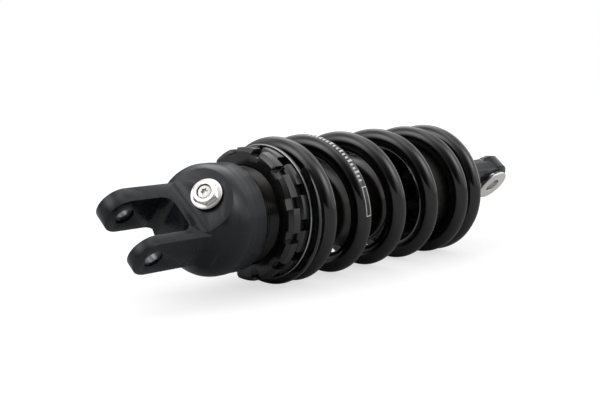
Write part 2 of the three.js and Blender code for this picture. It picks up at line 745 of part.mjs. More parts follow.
function lowerEye() {
  const [low, high] = [EYE_OFFSET - NECK_HALF_T, EYE_OFFSET + NECK_HALF_T];
  const hub = turned([
    [NECK_START_X, 0],
    [NECK_START_X, NECK_R - 1],
    [NECK_START_X + 1, NECK_R],
    [NECK_ROUND_END_X, NECK_R],
    [NECK_ROUND_END_X + NECK_TAPER_L, NECK_HALF_T],
    [NECK_ROUND_END_X + NECK_TAPER_L, 0],
  ], 32);
  const web = rod(NECK_ROUND_END_X - NECK_TAPER_L / 2, EYE_TO_EYE - NECK_TAPER_L, NECK_R, 32)
    .intersect(box(NECK_START_X, EYE_TO_EYE, low, high, -NECK_R, NECK_R));
  const barrel = aboutBolt(
    turned([
      [EYE_OFFSET - EYE_HALF_W, 0],
      [EYE_OFFSET - EYE_HALF_W, EYE_R - EYE_CHAMFER],
      [EYE_OFFSET - EYE_HALF_W + EYE_CHAMFER, EYE_R],
      [EYE_OFFSET + EYE_HALF_W - EYE_CHAMFER, EYE_R],
      [EYE_OFFSET + EYE_HALF_W, EYE_R - EYE_CHAMFER],
      [EYE_OFFSET + EYE_HALF_W, 0],
    ], 32),
    EYE_TO_EYE,
  );
  const grooveHalf = RACE_HALF_W + CLIP_GAP + CLIP_T + CLIP_GAP;
  const bore = aboutBolt(
    rod(-OUTSIDE, OUTSIDE, RACE_R + CLIP_GAP, 32)
      .add(rod(EYE_OFFSET - grooveHalf, EYE_OFFSET + grooveHalf, CLIP_GROOVE_R, 32)),
    EYE_TO_EYE,
  );
  const stop = SHAFT_END_X + GAP;
  const [knob0, knob1] = KNOB_X;
  return hub
    .add(web)
    .add(barrel)
    .subtract(bore)
    .subtract(rod(NECK_START_X - 1, stop, SHAFT_R + GAP, 32))
    .subtract(rod(stop - 1, knob0, ROD_BORE_R + GAP, 16))
    .subtract(box(knob0 - GAP, knob1 + GAP, -OUTSIDE, OUTSIDE, -KNOB_POST, KNOB_POST));
}

function reboundKnob() {
  const [x0, x1] = KNOB_X;
  let knob = rod(x0, x1, KNOB_R, 32);
  const groove = moved(rod(x0 - 1, x1 + 1, KNOB_GROOVE_R, 6), (g) => g.translate(0, KNOB_R + CLIP_GAP, 0));
  for (let i = 0; i < KNOB_GRIPS; i += 1) {
    const angle = (2 * Math.PI * i) / KNOB_GRIPS;
    knob = knob.subtract(moved(groove, (g) => g.rotateX(angle)));
  }
  return knob;
}

// Places a solid made about the damper axis, centred on x = 0, in the eye.
function inEye(body) {
  return moved(body, (g) => g.translate(EYE_OFFSET, 0, 0).rotateZ(Math.PI / 2).translate(EYE_TO_EYE, 0, 0));
}

function bearingRace() {
  const bore = BALL_R + GAP;
  const edge = Math.asin(RACE_HALF_W / bore);
  const inside = arc(0, 0, bore, Math.PI / 2 - edge, Math.PI / 2 + edge, 6);
  const outside = [[-RACE_HALF_W, RACE_R], [RACE_HALF_W, RACE_R]];
  return inEye(turned([...outside, ...inside, outside[0]]));
}

function bearingBall() {
  const edge = Math.asin(BALL_HALF_W / BALL_R);
  const outside = arc(0, 0, BALL_R, Math.PI / 2 + edge, Math.PI / 2 - edge, 6);
  const inside = [[BALL_HALF_W, BALL_BORE_R], [-BALL_HALF_W, BALL_BORE_R]];
  return inEye(turned([inside[1], ...outside, ...inside]));
}

// side is -1 for the spacer nearer the floor, 1 for the other.
function eyeSpacer(side) {
  const shoulder = BALL_HALF_W + GAP;
  const profile = [
    [GAP, BOLT_BORE_R],
    [GAP, SPACER_STUB_R],
    [shoulder, SPACER_STUB_R],
    [shoulder, SPACER_SHOULDER_R],
    [SPACER_END - SPACER_FLANGE_T, SPACER_SHOULDER_R],
    [SPACER_END - SPACER_FLANGE_T, SPACER_FLANGE_R],
    [SPACER_END - EDGE, SPACER_FLANGE_R],
    [SPACER_END, SPACER_FLANGE_R - EDGE],
    [SPACER_END, BOLT_BORE_R],
    [GAP, BOLT_BORE_R],
  ];
  return inEye(turned(profile.map(([x, r]) => [side * x, r])));
}

function bearingClip(side) {
  const middle = side * (RACE_HALF_W + CLIP_GAP + CLIP_T / 2);
  const [x0, x1] = [middle - CLIP_T / 2, middle + CLIP_T / 2];
  const clip = splitRing(x0, x1, RACE_R - CLIP_LIP, CLIP_GROOVE_R - GAP, CLIP_OPENING_W, 0);
  return inEye(clip);
}

// ---------------------------------------------------------------- the assembly

const shock = new THREE.Group();
const rolled = new THREE.Group(); // pieces drawn with the bolt axis along +Y
rolled.rotation.x = BOLT_ROLL;
shock.add(rolled);

function place(name, shape, finish, parent = shock) {
  const geometry = shape.isBufferGeometry ? shape : geometryOf(shape);
  const mesh = new THREE.Mesh(geometry, new THREE.MeshStandardMaterial(FINISH[finish]));
  mesh.name = name;
  parent.add(mesh);
}

place('head_clevis', headClevis(), 'anodised', rolled);
place('gas_valve_body', gasValveBody(), 'zinc', rolled);
place('gas_valve_screw', gasValveScrew(), 'zinc', rolled);
place('gas_valve_seal', gasValveSeal(), 'rubber', rolled);

place('cylinder_tube', cylinderTube(), 'anodised');
place('seal_head', sealHead(), 'anodised');
place('seal_head_o_ring', oRing(SEAL_HEAD_GROOVE_X), 'rubber');
place('seal_head_circlip', splitRing(...CIRCLIP_X, ...CIRCLIP_R, CIRCLIP_GAP_W, CIRCLIP_GAP_AT), 'steel');
place('shaft_bushing', shaftRing(...BUSHING_X, BUSHING_POCKET_R), 'bronze');
place('shaft_seal', shaftRing(...SHAFT_SEAL_X, SEAL_POCKET_R), 'rubber');
place('shaft_wiper', shaftRing(...SHAFT_WIPER_X, SEAL_POCKET_R), 'rubber');

place('free_piston', freePiston(), 'steel');
place('free_piston_ring', oRing(FREE_PISTON_GROOVE_X), 'rubber');

place('lock_ring', castellatedRing(LOCK_RING_X, LOCK_RING_PHASE), 'collar');
place('preload_ring', castellatedRing(PRELOAD_RING_X, PRELOAD_RING_PHASE), 'collar');
place('spring_perch', springPerch(), 'collar');
place('coil_spring', coilSpring(), 'paint');

place('shaft', shaft(), 'chrome');
place('piston_nut', pistonNut(), 'steel');
COMPRESSION_SHIM_R.forEach((r, i) => {
  place(`compression_shim_${i + 1}`, shim(PISTON_X[0], -1, i, r), 'steel');
});
place('piston', piston(), 'anodised');
place('piston_band', pistonBand(), 'bronze');
REBOUND_SHIM_R.forEach((r, i) => {
  place(`rebound_shim_${i + 1}`, shim(PISTON_X[1], 1, i, r), 'steel');
});
place('top_out_bumper', ring(...TOP_OUT_X, SHAFT_R + GAP, TOP_OUT_R), 'rubber');
place('bump_stop', bumpStop(), 'bumper');
place('lower_spring_seat', lowerSeat(), 'anodised');
place('spring_guide_sleeve', guideSleeve(), 'plastic');
place('seat_clip', seatClip(), 'steel');
place('adjuster_rod', adjusterRod(), 'steel');

place('lower_eye', lowerEye(), 'anodised', rolled);
place('rebound_knob', reboundKnob(), 'collar', rolled);
place('bearing_race', bearingRace(), 'zinc', rolled);
place('bearing_ball', bearingBall(), 'zinc', rolled);
place('eye_spacer_lower', eyeSpacer(-1), 'zinc', rolled);
place('eye_spacer_upper', eyeSpacer(1), 'zinc', rolled);
place('bearing_clip_lower', bearingClip(-1), 'steel', rolled);
place('bearing_clip_upper', bearingClip(1), 'steel', rolled);

export default shock;
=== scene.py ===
"""Rear shock absorber: the fine surfaces, materials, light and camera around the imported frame.

Sizes are in millimetres and converted to metres when a mesh is made. The damper axis is X; the bolt
axes stand ROLL above the horizontal Y axis.
"""

import math

import bmesh
import bpy
import numpy as np
from mathutils import Matrix, Vector

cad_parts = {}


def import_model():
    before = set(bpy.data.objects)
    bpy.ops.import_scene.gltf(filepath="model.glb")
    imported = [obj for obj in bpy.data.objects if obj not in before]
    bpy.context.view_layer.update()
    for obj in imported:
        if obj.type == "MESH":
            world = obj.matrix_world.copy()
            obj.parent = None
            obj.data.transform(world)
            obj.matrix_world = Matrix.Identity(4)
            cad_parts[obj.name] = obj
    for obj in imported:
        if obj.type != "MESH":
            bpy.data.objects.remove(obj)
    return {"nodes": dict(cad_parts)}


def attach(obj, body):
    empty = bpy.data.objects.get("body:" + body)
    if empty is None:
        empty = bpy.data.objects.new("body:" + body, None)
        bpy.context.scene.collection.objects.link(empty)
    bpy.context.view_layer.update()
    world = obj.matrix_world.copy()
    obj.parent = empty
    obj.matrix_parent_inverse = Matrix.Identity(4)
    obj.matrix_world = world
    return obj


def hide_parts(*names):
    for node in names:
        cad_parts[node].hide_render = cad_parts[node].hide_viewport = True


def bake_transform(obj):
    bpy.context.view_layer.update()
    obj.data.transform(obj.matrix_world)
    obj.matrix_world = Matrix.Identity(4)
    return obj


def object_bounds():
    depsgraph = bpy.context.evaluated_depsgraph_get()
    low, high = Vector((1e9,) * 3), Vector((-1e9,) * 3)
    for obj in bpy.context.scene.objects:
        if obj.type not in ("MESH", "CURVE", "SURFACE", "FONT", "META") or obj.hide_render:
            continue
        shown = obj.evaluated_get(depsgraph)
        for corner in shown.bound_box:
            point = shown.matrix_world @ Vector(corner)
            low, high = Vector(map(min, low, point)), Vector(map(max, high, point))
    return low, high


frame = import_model()
CAD_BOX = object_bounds()

MM = 0.001
ROLL = math.radians(40)
TAU = 2 * math.pi
GAP = 0.3  # between touching pieces

# Driving sizes, equal to the CAD's. The thread is the exception: the CAD's tube is plain.
EAR_R = 11.3
EAR_NEAR, SLOT_NEAR, SLOT_FAR, EAR_FAR = -19.3, -13.4, 10.1, 19.0
SLOT_FLOOR_X, SLOT_FILLET = 23.5, 6.0
BOLT_BORE_R = 5.2
HEAD_R, HEAD_END_R = 30.3, 29.7
HEAD_START_X, HEAD_SHOULDER_X, HEAD_WAIST_X, HEAD_END_X = 16.0, 48.0, 52.0, 63.9
HEAD_CONE = math.radians(41)
HEAD_SHOULDER_FILLET = 20.0
EAR_ROOT_X = 36.0
FLAT_END_X, FLAT_RUNOUT_R, FLAT_RUNOUT_SWEEP = 27.0, 10.0, math.radians(65)
GAS_SPACE_X, TUBE_SEAT_X = 46.0, 52.2
VALVE_LEAN = math.radians(40)
VALVE_X, VALVE_Z = 35.1, 21.85
VALVE_BORE_R, VALVE_BORE_X = 4.9, (-24, 10)
FACET_DROP = 2.4
FACET_FILLET = 5.0
TUBE_R, TUBE_BORE_R, TUBE_START_X, TUBE_END_X = 27.07, 23.0, 52.5, 176.0
CIRCLIP_GROOVE_X, CIRCLIP_GROOVE_DEPTH = (TUBE_END_X - 2.6, TUBE_END_X - 0.6), 1.4
THREAD_END_X, THREAD_PITCH, THREAD_DEPTH = 104.0, 1.5, 0.75
COLLAR_R, COLLAR_BORE_R = 37.1, 27.37
COLLAR_NOTCHES, COLLAR_NOTCH_W, COLLAR_NOTCH_R = 12, 6.1, 33.6
LOCK_RING_X, PRELOAD_RING_X, PERCH_X = (74.4, 81.5), (81.8, 88.0), (88.3, 90.3)
LOCK_RING_PHASE, PRELOAD_RING_PHASE = math.radians(15), math.radians(4.5)
PERCH_R, PERCH_GUIDE_L = 38.0, 7
WIRE_R, COIL_R = 5.95, 35.65
SPRING_X = (90.6, 243.8)
SPRING_TIP_SINK, CLOSED_PITCH = 1.2, 12.0
SPRING_TURNS, CLOSED_TURNS, PITCH_BLEND_TURNS = 6.47, 1.0, 0.5
SPRING_TIP_PHASE = math.radians(138)
SPRING_GUIDE_R = 29.2
SHAFT_R, SHAFT_SHOULDER_X, SHAFT_END_X = 8.0, 151.2, 262.0
STUD_R, STUD_START_X, ROD_BORE_R = 5.0, 127, 2.1
SEAT_X = SPRING_X[1] + GAP
SEAT_R, SEAT_T, SEAT_HUB_END_X = 35.0, 5.0, 252.0
SEAT_PILOT_L, SEAT_PILOT_BORE_R, SEAT_HUB_R = 6.0, 24.0, 14.0
SLEEVE_START_X, SLEEVE_END_X, SLEEVE_BORE_R = 205.0, 243.8, 27.57
BUMP_STOP_X = (226.3, 243.8)
BUMP_STOP_LOBES_R = (15.0, 16.5, 14.8, 17.5, 18.5)  # nose, lobe, waist, lobe, foot


# ---------------------------------------------------------------- mesh helpers

def make_object(name, vertices, faces):
    """A mesh object from points in millimetres."""
    mesh = bpy.data.meshes.new(name)
    mesh.from_pydata([Vector(v) * MM for v in vertices], [], faces)
    mesh.validate()
    obj = bpy.data.objects.new(name, mesh)
    bpy.context.scene.collection.objects.link(obj)
    return obj


def shade(obj, angle=32):
    """Smooth shading with sharp edges above an angle, and faces turned outwards."""
    bm = bmesh.new()
    bm.from_mesh(obj.data)
    bmesh.ops.recalc_face_normals(bm, faces=bm.faces)
    bm.to_mesh(obj.data)
    bm.free()
    obj.data.shade_smooth()
    obj.data.set_sharp_from_angle(angle=math.radians(angle))
    return obj


def apply_modifiers(obj):
    graph = bpy.context.evaluated_depsgraph_get()
    mesh = bpy.data.meshes.new_from_object(obj.evaluated_get(graph))
    obj.modifiers.clear()
    obj.data = mesh
    return obj


def lathe(name, profile, segments=160):
    """A surface of revolution about X. The profile is a list of (x, radius): it closes on itself, or
    starts and ends on the axis."""
    closed = profile[0] == profile[-1]
    points = profile[:-1] if closed else profile
    vertices, rows, faces = [], [], []
    for x, r in points:
        if r < 1e-6:
            rows.append([len(vertices)] * segments)
            vertices.append((x, 0, 0))
            continue
        first = len(vertices)
        rows.append(list(range(first, first + segments)))
        for k in range(segments):
            angle = TAU * k / segments
            vertices.append((x, r * math.cos(angle), r * math.sin(angle)))
    pairs = list(zip(rows, rows[1:]))
    if closed:
        pairs.append((rows[-1], rows[0]))
    for a, b in pairs:
        for k in range(segments):
            n = (k + 1) % segments
            corners = []
            for index in (a[k], a[n], b[n], b[k]):
                if index not in corners:
                    corners.append(index)
            if len(corners) > 2:
                faces.append(corners)
    return make_object(name, vertices, faces)


def cylinder(name, radius, low, high, segments):
    """A plain cylinder about X, from low to high."""
    return lathe(name, [(low, 0), (low, radius), (high, radius), (high, 0)], segments)


def rounded(profile, radius, steps=4):
    """The profile with each corner that isn't on the axis rounded off to at most a radius. A corner may
    be given its own radius as a third number."""
    closed = profile[0][:2] == profile[-1][:2]
    points = profile[:-1] if closed else profile
    count = len(points)
    out = []
    for i, point in enumerate(points):
        own = point[2] if len(point) > 2 else radius
        if not closed and i in (0, count - 1):
            out.append(point[:2])
            continue
        here = np.array(point[:2], float)
        to_last = np.array(points[i - 1][:2], float) - here
        to_next = np.array(points[(i + 1) % count][:2], float) - here
        len_last, len_next = np.linalg.norm(to_last), np.linalg.norm(to_next)
        to_last, to_next = to_last / len_last, to_next / len_next
        half = math.acos(float(np.clip(to_last @ to_next, -1, 1))) / 2
        if half > math.radians(80) or own <= 0:
            out.append(tuple(here))
            continue
        reach = min(own / math.tan(half), 0.45 * len_last, 0.45 * len_next)
        start, end = here + to_last * reach, here + to_next * reach
        for k in range(steps + 1):
            t = k / steps
            out.append(tuple((1 - t) ** 2 * start + 2 * t * (1 - t) * here + t ** 2 * end))
    if closed:
        out.append(out[0])
    return out


def arc(cx, cy, r, start, end, steps=8):
    angles = [start + (end - start) * k / steps for k in range(steps + 1)]
    return [(cx + r * math.cos(a), cy + r * math.sin(a)) for a in angles]


def prism(name, outline, low, high, axis):
    """An outline extruded along axis ("x", "y" or "z"), from low to high."""
    places = {
        "x": lambda u, v, w: (w, u, v),
        "y": lambda u, v, w: (u, w, v),
        "z": lambda u, v, w: (u, v, w),
    }
    place = places[axis]
    count = len(outline)
    vertices = [place(u, v, low) for u, v in outline] + [place(u, v, high) for u, v in outline]
    faces = [list(range(count)), list(range(2 * count - 1, count - 1, -1))]
    for k in range(count):
        n = (k + 1) % count
        faces.append([k, k + count, n + count, n])
    obj = make_object(name, vertices, faces)
    return shade(obj)


def transform(obj, matrix):
    """Moves an object's mesh by a matrix whose translation is in metres."""
    obj.data.transform(matrix)
    return obj


def roll(obj):
    return transform(obj, Matrix.Rotation(ROLL, 4, "X"))


def about_bolt(obj, x=0.0, y=0.0):
    """Turns a piece made about X so that its axis is the bolt axis before the roll."""
    return transform(obj, Matrix.Translation(Vector((x, y, 0)) * MM) @ Matrix.Rotation(math.pi / 2, 4, "Z"))


def cut(obj, tools, operation="DIFFERENCE"):
    for tool in tools:
        modifier = obj.modifiers.new(tool.name, "BOOLEAN")
        modifier.operation = operation
        modifier.solver = "EXACT"
        modifier.object = tool
    apply_modifiers(obj)
    for tool in tools:
        bpy.data.objects.remove(tool)
    return obj


def bevel(obj, width, angle=30, segments=2):
    modifier = obj.modifiers.new("bevel", "BEVEL")
    modifier.width = width * MM
    modifier.segments = segments
    modifier.limit_method = "ANGLE"
    modifier.angle_limit = math.radians(angle)
    modifier.use_clamp_overlap = True
    modifier.harden_normals = False
    return apply_modifiers(obj)


def finish(obj, material, body, replaced=()):
    obj.data.materials.clear()
    obj.data.materials.append(material)
    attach(obj, body)
    if replaced:
        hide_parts(*replaced)
    return obj


# ---------------------------------------------------------------- materials

class Tree:
    """Short forms for building a node tree."""

    def __init__(self, tree):
        self.tree = tree

    def add(self, kind, **settings):
        node = self.tree.nodes.new(kind)
        for key, value in settings.items():
            setattr(node, key, value)
        return node

    def link(self, source, target):
        self.tree.links.new(source, target)

    def math(self, operation, a, b=None):
        node = self.add("ShaderNodeMath", operation=operation)
        for socket, value in zip(node.inputs, (a, b)):
            if value is None:
                continue
            if isinstance(value, (int, float)):
                socket.default_value = value
            else:
                self.link(value, socket)
        return node.outputs[0]


class Nodes(Tree):
    """Short forms for building one node material."""

    def __init__(self, name):
        self.material = bpy.data.materials.new(name)
        self.material.use_nodes = True
        super().__init__(self.material.node_tree)
        self.shader = self.tree.nodes["Principled BSDF"]

    def coordinates(self):
        return self.add("ShaderNodeTexCoord").outputs["Object"]

    def noise(self, vector, scale, detail=3.0, roughness=0.55):
        node = self.add("ShaderNodeTexNoise")
        self.link(vector, node.inputs["Vector"])
        node.inputs["Scale"].default_value = scale
        node.inputs["Detail"].default_value = detail
        node.inputs["Roughness"].default_value = roughness
        return node.outputs["Fac"]

    def turned_lines(self, density=1500.0):
        """A value that changes along the damper axis and the radius only, as a lathe tool leaves it."""
        split = self.add("ShaderNodeSeparateXYZ")
        self.link(self.coordinates(), split.inputs[0])
        x, y, z = split.outputs
        squares = self.math("ADD", self.math("MULTIPLY", y, y), self.math("MULTIPLY", z, z))
        joined = self.add("ShaderNodeCombineXYZ")
        self.link(x, joined.inputs[0])
        self.link(self.math("SQRT", squares), joined.inputs[1])
        return self.noise(joined.outputs[0], density, detail=2.0)

    def ramp(self, value, low, high, start=0.0, end=1.0):
        node = self.add("ShaderNodeMapRange")
        self.link(value, node.inputs["Value"])
        node.inputs["From Min"].default_value = start
        node.inputs["From Max"].default_value = end
        node.inputs["To Min"].default_value = low
        node.inputs["To Max"].default_value = high
        return node.outputs[0]

    def mix(self, factor, a, b):
        """Goes from colour a to colour b as the factor goes from 0 to 1."""
        node = self.add("ShaderNodeMix", data_type="RGBA")
        self.link(factor, node.inputs[0])
        node.inputs[6].default_value = (*a, 1.0)
        node.inputs[7].default_value = (*b, 1.0)
        return node.outputs[2]

    def bump(self, height, strength, distance):
        node = self.add("ShaderNodeBump")
        node.inputs["Strength"].default_value = strength
        node.inputs["Distance"].default_value = distance
        self.link(height, node.inputs["Height"])
        self.link(node.outputs[0], self.shader.inputs["Normal"])

    def set(self, **values):
        for key, value in values.items():
            self.shader.inputs[key.replace("_", " ")].default_value = value


def satin_black(name, colour, worn, roughness, lines=0.35, gloss=0.35, bands=0.05):
    """Black anodised aluminium: fine grain, faint tool lines and slightly lighter rubbed patches."""
    n = Nodes(name)
    place = n.coordinates()
    grain = n.noise(place, 2600.0, detail=2.0)
    cloud = n.noise(place, 45.0, detail=5.0)
    tool = n.turned_lines()
    patch = n.ramp(cloud, 0.0, 1.0, 0.42, 0.72)
    n.link(n.mix(patch, colour, worn), n.shader.inputs["Base Color"])
    band = n.turned_lines(240.0)
    rough = n.math("ADD", n.ramp(cloud, roughness - 0.05, roughness + 0.06, 0.3, 0.7),
                   n.ramp(tool, -0.04, 0.04))
    rough = n.math("ADD", rough, n.ramp(band, -bands, bands, 0.35, 0.65))
    n.link(rough, n.shader.inputs["Roughness"])
    height = n.math("ADD", n.math("MULTIPLY", grain, 0.5), n.math("MULTIPLY", tool, lines))
    n.bump(height, strength=0.25, distance=0.00006)
    n.set(Specular_IOR_Level=gloss)
    return n.material


def gloss_paint(name, colour, roughness):
    """Powder-coated spring steel: gloss black with a faint orange peel."""
    n = Nodes(name)
    place = n.coordinates()
    peel = n.noise(place, 420.0, detail=2.0)
    dust = n.noise(place, 1500.0, detail=4.0, roughness=0.7)
    cloud = n.noise(place, 30.0, detail=4.0)
    lighter = tuple(1.6 * c for c in colour)
    n.link(n.mix(n.ramp(cloud, 0.0, 1.0, 0.35, 0.7), colour, lighter), n.shader.inputs["Base Color"])
    rough = n.math("ADD", n.ramp(cloud, roughness - 0.03, roughness + 0.05, 0.3, 0.7),
                   n.ramp(dust, -0.02, 0.03))
    n.link(rough, n.shader.inputs["Roughness"])
    n.bump(peel, strength=0.12, distance=0.00012)
    n.set(Specular_IOR_Level=0.7)
    return n.material


def bright_metal(name, colour, stain, roughness, lines=0.5):
    """Bare or plated metal: fine scratches along the damper axis, and stained in patches."""
    n = Nodes(name)
    place = n.coordinates()
    cloud = n.noise(place, 160.0, detail=5.0)
    scratches = n.add("ShaderNodeMapping")
    scratches.inputs["Scale"].default_value = (60.0, 900.0, 500.0)
    n.link(place, scratches.inputs["Vector"])
    fine = n.noise(scratches.outputs[0], 5.0, detail=3.0)
    n.link(n.mix(n.ramp(cloud, 0.0, 1.0, 0.35, 0.75), colour, stain), n.shader.inputs["Base Color"])
    rough = n.math("ADD", n.ramp(cloud, roughness - 0.05, roughness + 0.08, 0.3, 0.7),
                   n.ramp(fine, -0.05, 0.05))
    n.link(rough, n.shader.inputs["Roughness"])
    n.bump(fine, strength=0.15 * lines, distance=0.00005)
    n.set(Metallic=1.0)
    return n.material


def soft_polymer(name, colour, lighter, roughness, scale=700.0):
    """Rubber, foam, plastic or flat paint: dull, with fine pores and lighter patches."""
    n = Nodes(name)
    place = n.coordinates()
    pores = n.noise(place, scale, detail=4.0, roughness=0.7)
    cloud = n.noise(place, 60.0, detail=4.0)
    n.link(n.mix(n.ramp(cloud, 0.0, 1.0, 0.35, 0.7), colour, lighter), n.shader.inputs["Base Color"])
    n.link(n.ramp(pores, roughness - 0.08, roughness + 0.08, 0.3, 0.7), n.shader.inputs["Roughness"])
    n.bump(pores, strength=0.3, distance=0.0002)
    return n.material


ANODISED = satin_black("black_anodised", (0.0045, 0.0058, 0.0080), (0.009, 0.011, 0.0150), 0.25,
                       gloss=0.40, bands=0.10)
TUBE_BLACK = satin_black("tube_hard_coat", (0.005, 0.0044, 0.0038), (0.009, 0.0078, 0.0066), 0.16,
                         lines=0.6, gloss=0.4, bands=0.0)
# Painted highlight: the thread crests get a lighter, warmer metal than the tube, so that they show as
# bright lines where the crests catch light. Its darker patches are random tone.
THREAD_CREST_HIGHLIGHT = bright_metal("thread_crest_highlight", (0.075, 0.064, 0.052), (0.03, 0.026, 0.022), 0.22)
COLLAR_BLACK = satin_black("collar_black", (0.004, 0.004, 0.0045), (0.008, 0.008, 0.009), 0.24, gloss=0.75)
SPRING_PAINT = gloss_paint("spring_paint", (0.0025, 0.0026, 0.0028), 0.10)
ZINC = bright_metal("bright_zinc", (0.93, 0.92, 0.90), (0.80, 0.79, 0.77), 0.30)
VALVE_STEEL = bright_metal("valve_screw_steel", (0.74, 0.73, 0.70), (0.60, 0.59, 0.57), 0.36)
BORE_METAL = bright_metal("worn_bore", (0.12, 0.125, 0.135), (0.07, 0.07, 0.075), 0.14)
STEEL = bright_metal("plain_steel", (0.50, 0.50, 0.51), (0.36, 0.36, 0.37), 0.34)
CHROME = bright_metal("shaft_chrome", (0.78, 0.79, 0.81), (0.70, 0.71, 0.73), 0.08, lines=0.2)
RUBBER = soft_polymer("seal_rubber", (0.012, 0.012, 0.012), (0.02, 0.02, 0.02), 0.75)
FOAM = soft_polymer("bump_foam", (0.010, 0.010, 0.010), (0.018, 0.018, 0.018), 0.8, scale=350.0)
GUIDE_PLASTIC = soft_polymer("guide_plastic", (0.011, 0.0105, 0.0095), (0.018, 0.017, 0.015), 0.5)
WHITE_PAINT = soft_polymer("mark_white", (0.62, 0.62, 0.62), (0.7, 0.7, 0.7), 0.5)
BRONZE = bright_metal("bearing_bronze", (0.42, 0.30, 0.16), (0.30, 0.22, 0.12), 0.42)


# ---------------------------------------------------------------- clevis and cylinder head

BEHIND_X, OUTSIDE = -3 * EAR_R, 3 * HEAD_R  # past the ears' end and the head's side, for cutters
HEAD_RIM_R = 0.6


def head_profile():
    reach = HEAD_SHOULDER_FILLET * math.tan(HEAD_CONE / 2)
    corner_x = HEAD_SHOULDER_X - reach
    cone_r = HEAD_R - (corner_x - HEAD_START_X) * math.tan(HEAD_CONE)
    shoulder = arc(HEAD_SHOULDER_X, HEAD_R - HEAD_SHOULDER_FILLET, HEAD_SHOULDER_FILLET,
                   math.pi / 2 + HEAD_CONE, math.pi / 2, 16)
    rim = arc(HEAD_END_X - HEAD_RIM_R, HEAD_END_R - HEAD_RIM_R, HEAD_RIM_R, math.pi / 2, 0, 4)
    return [
        (HEAD_START_X, 0),
        (HEAD_START_X, cone_r),
        *shoulder,
        (HEAD_WAIST_X - 0.1, HEAD_R),
        (HEAD_WAIST_X + 0.25, HEAD_R - 0.12),
        *rim,
        (HEAD_END_X, COLLAR_BORE_R + HEAD_RIM_R),
        (HEAD_END_X - HEAD_RIM_R, COLLAR_BORE_R),
        (TUBE_SEAT_X, COLLAR_BORE_R),
        (TUBE_SEAT_X, TUBE_BORE_R),
        (GAS_SPACE_X, TUBE_BORE_R),
        (GAS_SPACE_X, 0),
    ]


def facet_z(x):
    """The height of the facet under the gas valve, at a place along the damper axis."""
    offset = VALVE_Z * math.sin(VALVE_LEAN) - VALVE_X * math.cos(VALVE_LEAN) - FACET_DROP
    return (offset + x * math.cos(VALVE_LEAN)) / math.sin(VALVE_LEAN)


def facet_cutter():
    slope = math.pi / 2 - VALVE_LEAN
    corner_x = HEAD_START_X + (EAR_R - facet_z(HEAD_START_X)) * math.tan(VALVE_LEAN)
    start = corner_x - FACET_FILLET * math.tan(slope / 2)
    fillet = arc(start, EAR_R + FACET_FILLET, FACET_FILLET, -math.pi / 2, slope - math.pi / 2, 14)
    top = facet_z(HEAD_END_X)
    outline = [(BEHIND_X, EAR_R), *fillet, (HEAD_END_X, top), (BEHIND_X, top)]
    return prism("facet_cutter", outline, -OUTSIDE, OUTSIDE, "y")


def flat_cutter(face):
    """Leaves one ear's outer flat, which runs out into the head in a curve."""
    side = math.copysign(1, face)
    runout = arc(FLAT_END_X, face + side * FLAT_RUNOUT_R, FLAT_RUNOUT_R,
                 -side * math.pi / 2, -side * (math.pi / 2 - FLAT_RUNOUT_SWEEP), 14)
    far = side * OUTSIDE
    outline = [(BEHIND_X, face), *runout, (runout[-1][0] + 4, far), (BEHIND_X, far)]
    return prism("flat_cutter", outline, -OUTSIDE, OUTSIDE, "z")


def slot_cutter():
    cx = SLOT_FLOOR_X - SLOT_FILLET
    outline = [
        (BEHIND_X, SLOT_NEAR),
        *arc(cx, SLOT_NEAR + SLOT_FILLET, SLOT_FILLET, -math.pi / 2, 0, 12),
        *arc(cx, SLOT_FAR - SLOT_FILLET, SLOT_FILLET, 0, math.pi / 2, 12),
        (BEHIND_X, SLOT_FAR),
    ]
    return prism("slot_cutter", outline, -OUTSIDE, OUTSIDE, "z")


def on_valve_axis(obj):
    """Stands a piece made about X on the valve's axis, with x = 0 at the flange's outer face."""
    turn = Matrix.Rotation(math.pi + VALVE_LEAN, 4, "Y")
    return transform(obj, Matrix.Translation(Vector((VALVE_X, 0, VALVE_Z)) * MM) @ turn)


def head_clevis():
    head = shade(lathe("head_clevis_body", head_profile(), 192))
    end = arc(0, 0, EAR_R, math.pi / 2, 3 * math.pi / 2, 48)
    outline = [(EAR_ROOT_X, EAR_R), *end, (EAR_ROOT_X, -EAR_R)]
    cut(head, [prism("ears", outline, EAR_NEAR - 0.2, EAR_FAR + 0.2, "y")], "UNION")
    bolt = about_bolt(cylinder("bolt", BOLT_BORE_R, -40, 40, 64))
    valve_bore = on_valve_axis(cylinder("valve_bore", VALVE_BORE_R, *VALVE_BORE_X, 48))
    cut(head, [facet_cutter(), flat_cutter(EAR_NEAR), flat_cutter(EAR_FAR), slot_cutter(),
               shade(bolt), shade(valve_bore)])
    bevel(head, 0.45)
    bore = [
        face.index for face in head.data.polygons
        if math.hypot(face.center.x, face.center.z) < (BOLT_BORE_R + 0.05) * MM and abs(face.normal.y) < 0.1
    ]
    roll(head)
    finish(shade(head, 25), ANODISED, "damper", ["head_clevis"])
    head.data.materials.append(BORE_METAL)
    for index in bore:
        head.data.polygons[index].material_index = 1


head_clevis()


# ---------------------------------------------------------------- gas valve

# The hexagon is turned by 30 degrees against the CAD's, as in the photo, and is 0.3 mm lower. The screw
# and the seal differ from the CAD's by tenths of a millimetre.
VALVE_HEX_R, VALVE_HEX_H, VALVE_HEX_TOP_R = 7.0, 3.1, 5.75
VALVE_FLANGE_R, VALVE_FLANGE_T, VALVE_STEM_R, VALVE_STEM_L = 8.5, 1.2, 4.6, 9
VALVE_RECESS_R, VALVE_RECESS_FLOOR = 4.1, 0.4
VALVE_SCREW_R, VALVE_SCREW_TOP, VALVE_SCREW_SEAT = 3.6, 2.8, 1.1
VALVE_SHANK_R, VALVE_SHANK_L = 1.8, 8
VALVE_SOCKET_R, VALVE_SOCKET_LOBE, VALVE_SOCKET_FLOOR = 1.6, 0.36, 1.3
VALVE_SEAL_X, VALVE_SEAL_T, VALVE_SEAL_BORE_R, VALVE_SEAL_R = -(VALVE_FLANGE_T + 0.9), 0.6, 5.2, 8.1


